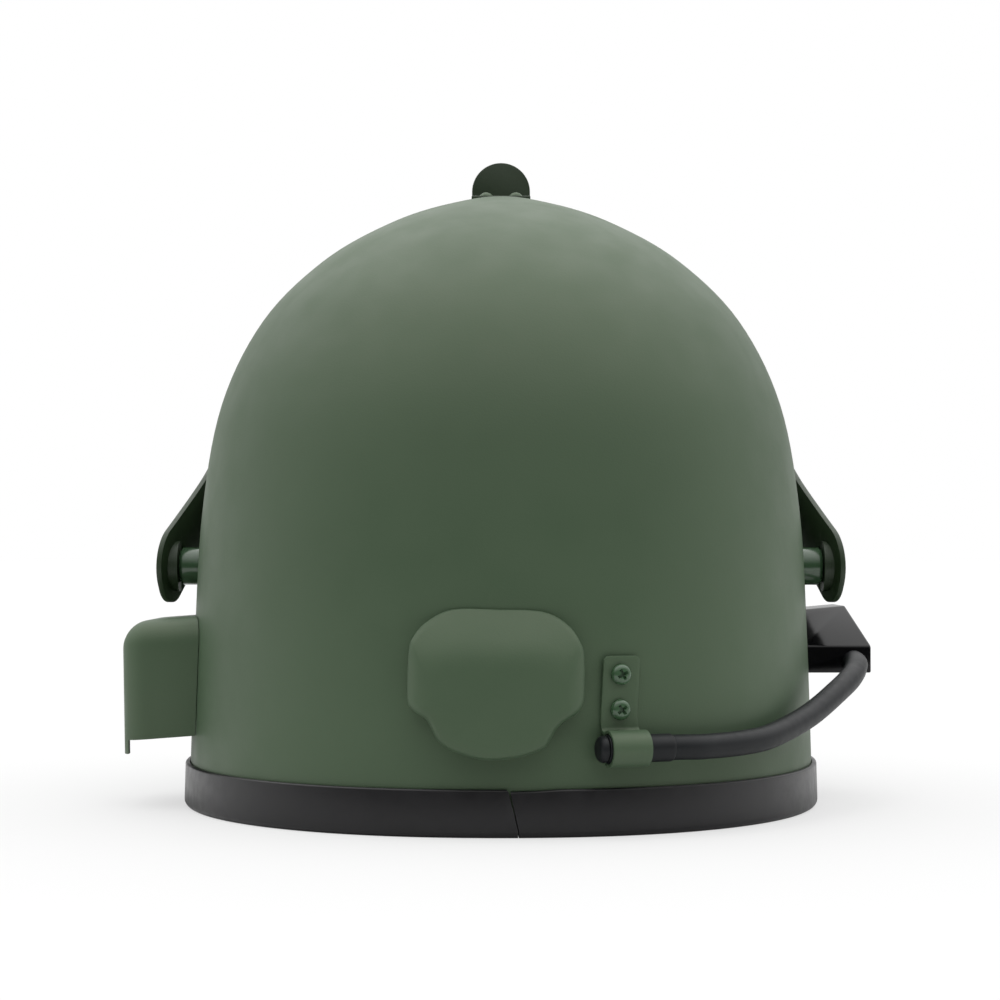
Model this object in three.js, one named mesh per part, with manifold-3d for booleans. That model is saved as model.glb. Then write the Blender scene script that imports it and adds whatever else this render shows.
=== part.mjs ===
// A hard tactical helmet with a lifting visor, in millimetres.
// The wearer looks along -Y, +Z is up, and the wearer's right hand is on the -X side.
// The helmet stands on the flat underside of its rubber edging, at z = 0.

import * as THREE from 'three';
import { mergeVertices } from 'three/addons/utils/BufferGeometryUtils.js';
import Module from 'manifold-3d';

const wasm = await Module();
wasm.setup();

// Driving dimensions

const gap = 0.3;              // clearance between neighbouring pieces
const centreShift = 7.7;      // moves the shell's centre so that the whole helmet is centred on the origin
const datum = 6.4;            // height above the ground of the level from which every z below is counted
const ground = -datum;

// Outline of the shell seen from behind: half its width at each height
const shellRows = [
  { z: -6.4, halfWidth: 131.4 },
  { z: 60, halfWidth: 129.5 },
  { z: 115, halfWidth: 126.5 },
  { z: 160, halfWidth: 118.6 },
  { z: 195, halfWidth: 101.8 },
  { z: 220, halfWidth: 77.7 },
  { z: 236, halfWidth: 51.8 },
  { z: 245.5, halfWidth: 27.3 },
];
const shellApex = 250.9;
const shellRoundness = 2.15;  // exponent of the oval seen from above: 2 is an ellipse, more is squarer
const shellDepthRatio = 1.1;  // depth over width of that oval
const wall = 3.5;

const edging = { height: 17.8, proud: 2.1, inside: 2.2, under: 3, frontWidth: 16 };
const faceOpening = { halfWidth: 86, top: 150, corner: 48, floor: -20 };

// Raised pad on the back: half its outline, from its top to its bottom, beside its own middle line
const bossRows = [
  { side: 0, z: 77.2 },
  { side: 15.5, z: 76.8 },
  { side: 26.8, z: 71.4 },
  { side: 32, z: 61.5 },
  { side: 32.1, z: 44 },
  { side: 29.6, z: 39.4 },
  { side: 25.2, z: 36.8 },
  { side: 22.4, z: 32.6 },
  { side: 17, z: 26.4 },
  { side: 8.4, z: 23.7 },
  { side: 0, z: 22.6 },
];
// Its section: how far it stands off the shell where its outline has shrunk to a given share
const bossLevels = [
  { share: 1, proud: -4 },
  { share: 1, proud: 3.2 },
  { share: 0.965, proud: 5.6 },
  { share: 0.89, proud: 7.6 },
  { share: 0.76, proud: 9 },
  { share: 0.55, proud: 9.8 },
  { share: 0.25, proud: 10 },
];
const bossCentre = { x: 1.8, z: 42 };

const pivot = { y: 5, z: 92.4 };
const stud = { radius: 8, chamfer: 1.1, tip: 136.5, root: 120 };
const pivotScrew = { radius: 3, headRadius: 5.8, headHeight: 2.2, root: 126, dome: 0.9 };
const seat = { radius: 9.3, rim: 1.4, inner: 136.9, thickness: 2.6 };
const pinHole = 3.5;

// Plan of the visor plate's outer face, at the height of the pivots, from the ear to the middle
const visorRows = [
  { x: 145.2, y: 23.5 },
  { x: 138.7, y: 5 },
  { x: 131.8, y: -25 },
  { x: 126.6, y: -53 },
  { x: 116, y: -84 },
  { x: 95, y: -119 },
  { x: 56, y: -146.5 },
  { x: 0, y: -157.5 },
];
const visor = { sheet: 2.5, lean: 0.12, low: 12, high: 168, rearEdge: -80, corner: 14 };
const arm = { y: 4, z: 94, halfWidth: 16.8, rise: 31 };
const visorWindow = { halfWidth: 78, low: 88, high: 148, corner: 13 };
const frameRing = { wide: 9, proud: 9.5, lip: 5.4, lipThickness: 2.2 };
const frameFlange = { wide: 17, thickness: 2.2 };
const gasketWidth = 2.4;
const glass = { front: 7, back: -2.2 };
const frameScrew = { radius: 3.1, height: 1.9, out: 13 };

const bracket = { width: 25.4, sheet: 2, front: -20, rear: 5, top: 269, plateTop: 252.4 };
const rivet = { side: 6.4, y: -5, radius: 2.8, height: 1.4 };

const guard = { outer: 155.4, rear: 50, front: -15, top: 71, sheet: 2, corner: 11, fillet: 7, bend: 5,
  wallFoot: 15.8, rearFoot: 22.5 };

const box = { outer: 157, rear: 10, front: -45, foot: 47.2, shoulder: 58.5, top: 75.2,
  topOuter: 149.2, slopeEnd: -13 };

const clip = { x: -45, y: 136, turn: 19, width: 15.7, top: 60, sheet: 1.3, corner: 1.6 };
const loop = { z: 26.2, inner: 5.5, outer: 6.8, from: -11.6, to: 3.7 };
const clipScrews = [
  { name: 'clip_screw_upper', side: -0.5, z: 53.2 },
  { name: 'clip_screw_lower', side: 0.1, z: 40.2 },
];
const clipScrew = { radius: 3.9, height: 2.5, slotWidth: 1.1, slotLength: 4.6, slotDepth: 1.4 };

const cable = { radius: 4.75, sides: 10, steps: 28 };
const sleeve = { radius: 5.2, from: -20.6, to: 4.4, edge: 0.9 };
const endPlug = { radius: 5, to: 9.2, edge: 1.6 };
// The cable's route from the sleeve to the box, in the shell's own frame
const cableRoute = [
  { x: -76, y: 130.8, z: 26 },
  { x: -91.4, y: 118, z: 26.4 },
  { x: -104, y: 104, z: 28 },
  { x: -121.6, y: 77, z: 33.7 },
  { x: -137, y: 51, z: 42 },
  { x: -145, y: 35, z: 47 },
  { x: -150, y: 21.5, z: 51 },
];
const cableExit = { x: -151, y: 10, z: 52 };

// Finishes

const paint = new THREE.MeshStandardMaterial({ color: 0x46593f, roughness: 0.62, metalness: 0.1 });
const glossPaint = new THREE.MeshStandardMaterial({ color: 0x33493a, roughness: 0.3, metalness: 0.1 });
const darkPaint = new THREE.MeshStandardMaterial({ color: 0x2c3a2b, roughness: 0.45, metalness: 0.2 });
const rubber = new THREE.MeshStandardMaterial({ color: 0x2b2b2d, roughness: 0.7, metalness: 0 });
const plastic = new THREE.MeshStandardMaterial({ color: 0x303033, roughness: 0.55, metalness: 0 });
const clearGlass = new THREE.MeshStandardMaterial({ color: 0x8fa39a, roughness: 0.05, metalness: 0 });

// Solids from geometries, and back

function solidOf(geometry) {
  geometry.deleteAttribute('normal');
  geometry.deleteAttribute('uv');
  const merged = mergeVertices(geometry, 1e-4);
  return new wasm.Manifold(new wasm.Mesh({
    numProp: 3,
    vertProperties: new Float32Array(merged.attributes.position.array),
    triVerts: new Uint32Array(merged.index.array),
  }));
}

function meshOf(name, solid, material) {
  const { numProp, vertProperties, triVerts } = solid.getMesh();
  const places = [];
  for (let start = 0; start < vertProperties.length; start += numProp) {
    places.push(vertProperties[start], vertProperties[start + 1], vertProperties[start + 2]);
  }
  const geometry = new THREE.BufferGeometry();
  geometry.setAttribute('position', new THREE.Float32BufferAttribute(places, 3));
  geometry.setIndex(Array.from(triVerts));
  geometry.computeVertexNormals();
  const mesh = new THREE.Mesh(geometry, material);
  mesh.name = name;
  return mesh;
}

// Outlines pushed out along one axis

const axisX = new THREE.Vector3(1, 0, 0);
const axisY = new THREE.Vector3(0, 1, 0);
const axisZ = new THREE.Vector3(0, 0, 1);

function extruded(shape, depth, curveSegments) {
  return new THREE.ExtrudeGeometry(shape, { depth, curveSegments, bevelEnabled: false, steps: 1 });
}

// An outline drawn in (y, z), filled from one x to another
function alongX(shape, from, to, curveSegments = 3) {
  const geometry = extruded(shape, to - from, curveSegments);
  geometry.applyMatrix4(new THREE.Matrix4().makeBasis(axisY, axisZ, axisX));
  geometry.translate(from, 0, 0);
  return solidOf(geometry);
}

// An outline drawn in (x, z), filled from one y to another
function alongY(shape, from, to, curveSegments = 3) {
  const geometry = extruded(shape, to - from, curveSegments);
  geometry.applyMatrix4(new THREE.Matrix4().makeBasis(axisX, axisZ, axisY.clone().negate()));
  geometry.translate(0, to, 0);
  return solidOf(geometry);
}

function rectangle(left, low, right, high, corner = 0) {
  const shape = new THREE.Shape();
  if (corner === 0) {
    shape.moveTo(left, low);
    shape.lineTo(right, low);
    shape.lineTo(right, high);
    shape.lineTo(left, high);
    return shape;
  }
  shape.moveTo(left + corner, low);
  shape.lineTo(right - corner, low);
  shape.absarc(right - corner, low + corner, corner, -Math.PI / 2, 0, false);
  shape.lineTo(right, high - corner);
  shape.absarc(right - corner, high - corner, corner, 0, Math.PI / 2, false);
  shape.lineTo(left + corner, high);
  shape.absarc(left + corner, high - corner, corner, Math.PI / 2, Math.PI, false);
  shape.lineTo(left, low + corner);
  shape.absarc(left + corner, low + corner, corner, Math.PI, 1.5 * Math.PI, false);
  return shape;
}

function polygon(rows) {
  return new THREE.Shape(rows.map(([across, up]) => new THREE.Vector2(across, up)));
}

// A round bar along X, about the line through (y, z)
function barAlongX(radius, from, to, y, z, sides = 24) {
  const geometry = new THREE.CylinderGeometry(radius, radius, to - from, sides);
  geometry.rotateZ(Math.PI / 2);
  geometry.translate((from + to) / 2, y, z);
  return solidOf(geometry);
}

// A turned piece standing on z = 0: its outline is given as [radius, height] from the axis to the axis
function turned(outline, sides) {
  const geometry = new THREE.LatheGeometry(outline.map(([r, h]) => new THREE.Vector2(r, h)), sides);
  geometry.rotateX(Math.PI / 2);
  return geometry;
}

// A closed skin over rings of equally many points, each ring a list of Vector3.
// Both ends are filled from their ring's middle.
function skinned(rings) {
  const count = rings[0].length;
  const places = rings.flat();
  const faces = [];
  for (let ring = 0; ring < rings.length - 1; ring += 1) {
    for (let step = 0; step < count; step += 1) {
      const next = (step + 1) % count;
      const here = ring * count;
      const above = here + count;
      faces.push(here + step, here + next, above + next);
      faces.push(here + step, above + next, above + step);
    }
  }
  const middleOf = (ring) => ring
    .reduce((sum, point) => sum.add(point), new THREE.Vector3())
    .divideScalar(count);
  const first = places.length;
  places.push(middleOf(rings[0]), middleOf(rings[rings.length - 1]));
  const lastRing = (rings.length - 1) * count;
  for (let step = 0; step < count; step += 1) {
    const next = (step + 1) % count;
    faces.push(first, next, step);
    faces.push(first + 1, lastRing + step, lastRing + next);
  }
  const geometry = new THREE.BufferGeometry();
  geometry.setAttribute('position', new THREE.Float32BufferAttribute(
    places.flatMap((point) => point.toArray()), 3));
  geometry.setIndex(faces);
  return solidOf(geometry);
}

// The shell's form

const shellProfile = new THREE.SplineCurve([
  ...shellRows.map((row) => new THREE.Vector2(row.halfWidth, row.z)),
  new THREE.Vector2(0, shellApex),
  new THREE.Vector2(-shellRows.at(-1).halfWidth, shellRows.at(-1).z),
]);
const apexAt = shellRows.length / (shellRows.length + 1);

// A point of the oval seen from above, for a half-width across and a reach to front and back
function ovalPoint(turn, halfWidth, reach) {
  const power = 2 / shellRoundness;
  const cosine = Math.cos(turn);
  const sine = Math.sin(turn);
  return new THREE.Vector2(
    halfWidth * Math.sign(cosine) * Math.abs(cosine) ** power,
    reach * Math.sign(sine) * Math.abs(sine) ** power,
  );
}

// The solid dome whose surface stands off the shell's outer face by a given distance
function dome(standOff, floor, sides = 48, rows = 18) {
  const rings = [];
  for (let row = 0; row < rows; row += 1) {
    const at = apexAt * row / rows;
    const point = shellProfile.getPoint(at);
    const tangent = shellProfile.getTangent(at);
    const out = new THREE.Vector2(tangent.y, -tangent.x).normalize().multiplyScalar(standOff);
    const halfWidth = point.x + out.x;
    const reach = shellDepthRatio * point.x + out.x;
    const height = row === 0 ? floor : point.y + out.y;
    const ring = [];
    for (let side = 0; side < sides; side += 1) {
      const place = ovalPoint(2 * Math.PI * side / sides, halfWidth, reach);
      ring.push(new THREE.Vector3(place.x, place.y, height));
    }
    rings.push(ring);
  }
  const summit = shellApex + standOff;
  rings.push(rings.at(-1).map(() => new THREE.Vector3(0, 0, summit)));
  return skinned(rings);
}

// Half the width of the shell's outer face at a height
function halfWidthAt(z) {
  let low = 0;
  let high = apexAt;
  for (let halving = 0; halving < 30; halving += 1) {
    const middle = (low + high) / 2;
    if (shellProfile.getPoint(middle).y < z) low = middle;
    else high = middle;
  }
  return shellProfile.getPoint(low).x;
}

// The y of the shell's back over a point (x, z)
function backAt(x, z) {
  const halfWidth = halfWidthAt(z);
  const across = Math.min(Math.abs(x) / halfWidth, 1);
  return shellDepthRatio * halfWidth * (1 - across ** shellRoundness) ** (1 / shellRoundness);
}

// The inverted U of the face opening, made wider and higher all round by an amount
function faceOutline(grow) {
  const half = faceOpening.halfWidth + grow;
  const top = faceOpening.top + grow;
  const corner = faceOpening.corner + grow;
  const shape = new THREE.Shape();
  shape.moveTo(-half, faceOpening.floor);
  shape.lineTo(half, faceOpening.floor);
  shape.lineTo(half, top - corner);
  shape.absarc(half - corner, top - corner, corner, 0, Math.PI / 2, false);
  shape.lineTo(-half + corner, top);
  shape.absarc(-half + corner, top - corner, corner, Math.PI / 2, Math.PI, false);
  return shape;
}

const farFront = -250;
const nearFront = -30;
const farAside = 250;

function faceCut(grow) {
  return alongY(faceOutline(grow), farFront, nearFront, 5);
}

// Everything of a solid between two heights
function between(solid, low, high) {
  const slab = new THREE.BoxGeometry(2 * farAside, 2 * farAside, high - low);
  slab.translate(0, 0, (low + high) / 2);
  return solid.intersect(solidOf(slab));
}

function makeShell() {
  const outer = dome(0, ground + edging.under);
  const hollow = dome(-wall, ground - edging.under, 36, 12);
  return outer.subtract(hollow).subtract(faceCut(0));
}

function makeEdging() {
  const outer = dome(edging.proud, ground);
  const hollow = dome(-wall - edging.inside, ground - edging.under, 36, 12);
  const band = between(outer.subtract(hollow), ground, ground + edging.height);
  const frame = outer.subtract(hollow).intersect(faceCut(edging.frontWidth));
  const slot = dome(gap, ground + edging.under - gap)
    .subtract(dome(-wall - gap, ground - edging.under, 36, 12))
    .subtract(faceCut(-gap));
  return band.add(frame).subtract(faceCut(-edging.inside)).subtract(slot);
}

const aroundShell = dome(gap, ground);

function makeBoss() {
  const right = bossRows.map((row) => new THREE.Vector3(row.side, 0, row.z));
  const left = bossRows.slice(1, -1).reverse().map((row) => new THREE.Vector3(-row.side, 0, row.z));
  const outline = new THREE.CatmullRomCurve3([...right, ...left], true, 'centripetal').getPoints(44);
  outline.pop();
  const rings = bossLevels.map((level) => outline.map((point) => {
    const x = bossCentre.x + point.x * level.share;
    const z = bossCentre.z + (point.z - bossCentre.z) * level.share;
    return new THREE.Vector3(x, backAt(x, z) + level.proud, z);
  }));
  return skinned(rings).subtract(aroundShell);
}

// The crown catch: an angle with an upright, round-topped tab and a foot riveted to the crown

function makeBracket() {
  const half = bracket.width / 2;
  const tab = new THREE.Shape();
  tab.moveTo(-half, bracket.plateTop - 6);
  tab.lineTo(half, bracket.plateTop - 6);
  tab.lineTo(half, bracket.top - half);
  tab.absarc(0, bracket.top - half, half, 0, Math.PI, false);
  const upright = alongY(tab, bracket.front, bracket.front + bracket.sheet, 8);
  const foot = alongY(rectangle(-half, bracket.plateTop - 8, half, bracket.plateTop),
    bracket.front, bracket.rear);
  return upright.add(foot).subtract(aroundShell);
}

function roundHead(radius, height, sides) {
  return [
    [0, 0],
    [radius, 0],
    [radius, 0.3 * height],
    [0.86 * radius, 0.7 * height],
    [0.5 * radius, 0.94 * height],
    [0, height],
  ];
}

function makeRivet(side) {
  const geometry = turned(roundHead(rivet.radius, rivet.height), 12);
  geometry.translate(side, rivet.y, bracket.plateTop + gap);
  return solidOf(geometry);
}

// The sheet guard on the wearer's left, open underneath

function guardBlock(inset, foot) {
  const front = new THREE.Shape();
  const outer = guard.outer - inset;
  const top = guard.top - inset;
  const corner = guard.corner - inset;
  front.moveTo(90, foot);
  front.lineTo(outer, foot);
  front.lineTo(outer, top - corner);
  front.absarc(outer - corner, top - corner, corner, 0, Math.PI / 2, false);
  front.lineTo(90, top);
  const side = rectangle(guard.front + inset, foot - 40, guard.rear - inset, top, guard.fillet - inset);
  const plan = rectangle(50, guard.front + inset, outer, guard.rear - inset, guard.bend - inset);
  return alongY(front, guard.front + inset, guard.rear - inset)
    .intersect(alongX(side, 80, 180))
    .intersect(solidOf(extruded(plan, 2 * guard.top, 2).translate(0, 0, foot - 1)));
}

function makeGuard() {
  const rearNotch = alongY(rectangle(80, -20, guard.outer - guard.sheet, guard.rearFoot),
    guard.front - 1, guard.rear + 1);
  return guardBlock(0, guard.wallFoot)
    .subtract(guardBlock(guard.sheet, guard.wallFoot - 10))
    .subtract(rearNotch)
    .subtract(aroundShell);
}

// The black box on the wearer's right, with its top sloping down to the cable's exit

function makeBox() {
  const side = polygon([
    [box.front, box.foot],
    [box.rear, box.foot],
    [box.rear, box.shoulder],
    [box.slopeEnd, box.top],
    [box.front, box.top],
  ]);
  const front = polygon([
    [-box.outer, box.foot],
    [-90, box.foot],
    [-90, box.top],
    [-box.topOuter, box.top],
    [-box.outer, box.shoulder],
  ]);
  return alongX(side, -200, -80).intersect(alongY(front, box.front - 5, box.rear + 5))
    .subtract(aroundShell);
}

// The cable clip and what it holds are made in the clip's own frame:
// x along the shell, y straight out of it, z up

const clipPlace = new THREE.Matrix4()
  .makeRotationZ(THREE.MathUtils.degToRad(clip.turn))
  .setPosition(clip.x, clip.y, 0);
const loopOut = loop.outer + gap;

function placedAtClip(solid) {
  return solid.transform(clipPlace.toArray());
}

function makeClip() {
  const half = clip.width / 2;
  const plate = alongY(rectangle(-half, loop.z, half, clip.top, clip.corner), -3, clip.sheet + gap)
    .subtract(alongY(rectangle(loop.to, 0, 40, loop.z + loop.outer), -10, 10));
  const ring = barAlongX(loop.outer, loop.from, loop.to, loopOut, loop.z);
  const bore = barAlongX(loop.inner, loop.from - 20, loop.to + 20, loopOut, loop.z);
  return placedAtClip(plate.add(ring).subtract(bore)).subtract(aroundShell);
}

function makeClipScrew(side, z) {
  const head = solidOf(turned(roundHead(clipScrew.radius, clipScrew.height), 14));
  const { slotLength, slotWidth, slotDepth, height } = clipScrew;
  const slot = () => new THREE.BoxGeometry(slotLength, slotWidth, 2 * slotDepth)
    .translate(0, 0, height);
  const crossed = head.subtract(solidOf(slot())).subtract(solidOf(slot().rotateZ(Math.PI / 2)));
  const place = new THREE.Matrix4()
    .makeRotationX(-Math.PI / 2)
    .setPosition(side, clip.sheet + 2 * gap, z);
  return placedAtClip(crossed.transform(place.toArray()));
}

// A round rod in the loop, from one x to another, with its far edges rounded
function rodInLoop(radius, from, to, edgeFrom, edgeTo) {
  const length = to - from;
  const outline = [
    [0, 0],
    [radius - edgeFrom, 0],
    [radius - 0.3 * edgeFrom, 0.3 * edgeFrom],
    [radius, edgeFrom + 0.01],
    [radius, length - edgeTo - 0.01],
    [radius - 0.3 * edgeTo, length - 0.3 * edgeTo],
    [radius - edgeTo, length],
    [0, length],
  ];
  const geometry = turned(outline, 16);
  geometry.rotateY(Math.PI / 2);
  geometry.translate(from, loopOut, loop.z);
  return placedAtClip(solidOf(geometry));
}

function makeCable() {
  const inLine = (along) => new THREE.Vector3(along, loopOut, loop.z).applyMatrix4(clipPlace);
  const insideBox = { ...cableExit, y: cableExit.y - cable.radius };
  const points = [
    inLine(sleeve.from + cable.radius),
    inLine(sleeve.from - cable.radius),
    ...[...cableRoute, cableExit, insideBox].map(({ x, y, z }) => new THREE.Vector3(x, y, z)),
  ];
  const path = new THREE.CatmullRomCurve3(points, false, 'centripetal');
  const section = new THREE.Shape();
  section.absarc(0, 0, cable.radius, 0, 2 * Math.PI, false);
  const geometry = new THREE.ExtrudeGeometry(section, {
    steps: cable.steps,
    curveSegments: cable.sides / 2,
    extrudePath: path,
    bevelEnabled: false,
  });
  const clipSide = alongX(rectangle(-40, 0, 40, 60), sleeve.from - gap, 40);
  const boxSide = alongY(rectangle(-200, 0, -80, 90), -80, box.rear + gap);
  return solidOf(geometry).subtract(placedAtClip(clipSide)).subtract(boxSide).subtract(aroundShell);
}

// The visor's pivots, for the side with the sign given: 1 is the wearer's left, -1 the right

function onSide(solid, sign) {
  return sign > 0 ? solid : solid.mirror([1, 0, 0]);
}

function makeStud(sign) {
  const outline = [
    [0, 0],
    [stud.radius, 0],
    [stud.radius, stud.tip - stud.root - stud.chamfer],
    [stud.radius - stud.chamfer, stud.tip - stud.root],
    [0, stud.tip - stud.root],
  ];
  const geometry = turned(outline, 24);
  geometry.rotateY(Math.PI / 2);
  geometry.translate(stud.root, pivot.y, pivot.z);
  const hole = barAlongX(pivotScrew.radius + gap, stud.root - 5, stud.tip + 5, pivot.y, pivot.z, 12);
  return onSide(solidOf(geometry).subtract(aroundShell).subtract(hole), sign);
}

function makePivotScrew(sign) {
  const headAt = seat.inner + seat.thickness + gap;
  const { radius, root, headRadius, headHeight, dome: rounding } = pivotScrew;
  const outline = [
    [0, 0],
    [radius, 0],
    [radius, headAt - root],
    [headRadius, headAt - root],
    [headRadius, headAt - root + headHeight - rounding],
    [headRadius - rounding, headAt - root + headHeight],
    [0, headAt - root + headHeight],
  ];
  const geometry = turned(outline, 12);
  geometry.rotateY(Math.PI / 2);
  geometry.translate(root, pivot.y, pivot.z);
  return onSide(solidOf(geometry).subtract(aroundShell), sign);
}

// The visor: a plate bent round the face, with the same bend running on into both arms

const visorPlan = (() => {
  const left = visorRows.map((row) => new THREE.Vector2(row.x, row.y));
  const right = visorRows.slice(0, -1).reverse().map((row) => new THREE.Vector2(-row.x, row.y));
  const curve = new THREE.SplineCurve([...left, ...right]);
  const stations = 40;
  const plan = [];
  for (let station = 0; station <= stations; station += 1) {
    const at = station / stations;
    const tangent = curve.getTangent(at);
    plan.push({ point: curve.getPoint(at), out: new THREE.Vector2(-tangent.y, tangent.x).negate() });
  }
  return plan;
})();

// The layer of space between two distances outward from the visor's outer face
function visorLayer(inner, outer) {
  const facing = visorPlan[visorPlan.length >> 1].out.y < 0 ? 1 : -1;
  const at = (distance) => visorPlan.map(({ point, out }) => point.clone()
    .addScaledVector(out, facing * distance));
  const geometry = extruded(new THREE.Shape([...at(outer), ...at(inner).reverse()]), 260, 1);
  const lean = new THREE.Matrix4().set(
    1, 0, 0, 0,
    0, 1, visor.lean, -visor.lean * pivot.z,
    0, 0, 1, 0,
    0, 0, 0, 1,
  );
  geometry.applyMatrix4(lean);
  return solidOf(geometry);
}

// The window's outline, made larger all round by an amount, as a bar through the visor's front
function windowBar(grow) {
  const half = visorWindow.halfWidth + grow;
  const outline = rectangle(-half, visorWindow.low - grow, half, visorWindow.high + grow,
    visorWindow.corner + grow);
  return alongY(outline, farFront, nearFront, 3);
}

// The visor seen from the side: its plate, and the arm rising forward to it from the round ear
function visorOutline() {
  const slope = THREE.MathUtils.degToRad(arm.rise);
  const across = new THREE.Vector2(Math.sin(slope), Math.cos(slope)).multiplyScalar(arm.halfWidth);
  const upper = { y: arm.y + across.x, z: arm.z + across.y };
  const lower = { y: arm.y - across.x, z: arm.z - across.y };
  const lowerAtPlate = lower.z + (lower.y - visor.rearEdge) * Math.tan(slope);
  const upperAtTop = upper.y - (visor.high - upper.z) / Math.tan(slope);
  const { corner, low, high, rearEdge } = visor;
  const shape = new THREE.Shape();
  shape.moveTo(farFront, low);
  shape.lineTo(rearEdge - corner, low);
  shape.quadraticCurveTo(rearEdge, low, rearEdge, low + corner);
  shape.lineTo(rearEdge, lowerAtPlate - corner);
  shape.quadraticCurveTo(rearEdge, lowerAtPlate,
    rearEdge + corner * Math.cos(slope), lowerAtPlate - corner * Math.sin(slope));
  shape.lineTo(lower.y, lower.z);
  shape.absarc(arm.y, arm.z, arm.halfWidth, -Math.PI / 2 - slope, Math.PI / 2 - slope, false);
  shape.lineTo(upperAtTop + corner * Math.cos(slope), high - corner * Math.sin(slope));
  shape.quadraticCurveTo(upperAtTop, high, upperAtTop - corner, high);
  shape.lineTo(farFront, high);
  return shape;
}

function makeVisorPlate() {
  const outline = alongX(visorOutline(), -farAside, farAside, 8);
  let solid = visorLayer(-visor.sheet, 0).intersect(outline).subtract(windowBar(0));
  const disc = seat.inner + seat.thickness;
  const outward = visorLayer(-visor.sheet, 12);
  for (const sign of [1, -1]) {
    const bar = (radius, from, to, sides) => onSide(
      barAlongX(radius, from, to, pivot.y, pivot.z, sides), sign);
    const rim = seat.radius + seat.rim;
    solid = solid
      .subtract(bar(seat.radius, disc, 160))
      .add(bar(rim, seat.inner, disc))
      .add(bar(rim, 125, seat.inner + 1).intersect(outward))
      .subtract(bar(seat.radius, 110, seat.inner))
      .subtract(bar(pinHole, 110, 160, 12));
  }
  return solid;
}

function makeWindowFrame() {
  const ring = visorLayer(gap, frameRing.proud)
    .intersect(windowBar(frameRing.wide))
    .subtract(windowBar(-frameRing.lip));
  const flange = visorLayer(gap, gap + frameFlange.thickness)
    .intersect(windowBar(frameFlange.wide))
    .subtract(windowBar(0));
  const pocket = visorLayer(-1, frameRing.proud - frameRing.lipThickness).intersect(windowBar(0));
  return ring.add(flange).subtract(pocket);
}

function makeGasket() {
  return visorLayer(glass.back, glass.front)
    .intersect(windowBar(-gap).subtract(windowBar(-gap - gasketWidth)));
}

function makeGlass() {
  return visorLayer(glass.back, glass.front)
    .intersect(windowBar(-2 * gap - gasketWidth));
}

// The y of the visor's outer face over (x, z), and the way it faces there
function visorFaceAt(x, z) {
  const front = visorPlan.filter(({ point }) => point.y < -60);
  let best = front[0];
  for (const station of front) {
    if (Math.abs(station.point.x - x) < Math.abs(best.point.x - x)) best = station;
  }
  const index = front.indexOf(best);
  const mate = front[index + (best.point.x > x ? 1 : -1)] ?? best;
  const share = mate === best ? 0 : (x - best.point.x) / (mate.point.x - best.point.x);
  const facing = best.out.clone().lerp(mate.out, share).normalize();
  if (facing.y > 0) facing.negate();
  return {
    y: THREE.MathUtils.lerp(best.point.y, mate.point.y, share) + visor.lean * (z - pivot.z),
    facing,
  };
}

const frameScrews = [
  { x: 60, z: visorWindow.high + frameScrew.out },
  { x: 20, z: visorWindow.high + frameScrew.out },
  { x: -20, z: visorWindow.high + frameScrew.out },
  { x: -60, z: visorWindow.high + frameScrew.out },
  { x: 60, z: visorWindow.low - frameScrew.out },
  { x: 20, z: visorWindow.low - frameScrew.out },
  { x: -20, z: visorWindow.low - frameScrew.out },
  { x: -60, z: visorWindow.low - frameScrew.out },
];

function makeFrameScrew({ x, z }) {
  const { y, facing } = visorFaceAt(x, z);
  const out = new THREE.Vector3(facing.x, facing.y, -visor.lean * facing.y).normalize();
  const geometry = turned(roundHead(frameScrew.radius, frameScrew.height), 8);
  geometry.applyQuaternion(new THREE.Quaternion().setFromUnitVectors(axisZ, out));
  const stand = frameFlange.thickness + 2.4 * gap;
  geometry.translate(x + facing.x * stand, y + facing.y * stand, z);
  return solidOf(geometry);
}

// The assembly

const helmet = new THREE.Group();
helmet.position.set(0, centreShift, datum);

helmet.add(meshOf('shell', makeShell(), paint));
helmet.add(meshOf('rim_edging', makeEdging(), rubber));
helmet.add(meshOf('rear_boss', makeBoss(), paint));
helmet.add(meshOf('crown_catch', makeBracket(), darkPaint));
helmet.add(meshOf('catch_rivet_left', makeRivet(rivet.side), paint));
helmet.add(meshOf('catch_rivet_right', makeRivet(-rivet.side), paint));
helmet.add(meshOf('side_guard', makeGuard(), paint));
helmet.add(meshOf('connector_box', makeBox(), plastic));
helmet.add(meshOf('cable', makeCable(), rubber));
helmet.add(meshOf('cable_sleeve', rodInLoop(sleeve.radius, sleeve.from, sleeve.to, sleeve.edge, 0.2), rubber));
helmet.add(meshOf('cable_end_plug',
  rodInLoop(endPlug.radius, sleeve.to + gap, endPlug.to, 0.2, endPlug.edge), rubber));
helmet.add(meshOf('cable_clip', makeClip(), paint));
for (const screw of clipScrews) {
  helmet.add(meshOf(screw.name, makeClipScrew(screw.side, screw.z), glossPaint));
}
for (const [side, sign] of [['left', 1], ['right', -1]]) {
  helmet.add(meshOf(`pivot_shaft_${side}`, makeStud(sign), glossPaint));
  helmet.add(meshOf(`pivot_screw_${side}`, makePivotScrew(sign), darkPaint));
}

const liftingVisor = new THREE.Group();
liftingVisor.add(meshOf('visor_plate', makeVisorPlate(), paint));
liftingVisor.add(meshOf('window_frame', makeWindowFrame(), darkPaint));
liftingVisor.add(meshOf('window_gasket', makeGasket(), rubber));
liftingVisor.add(meshOf('window_glass', makeGlass(), clearGlass));
frameScrews.forEach((screw, index) => {
  liftingVisor.add(meshOf(`frame_screw_${index + 1}`, makeFrameScrew(screw), glossPaint));
});
helmet.add(liftingVisor);

export default helmet;
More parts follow.
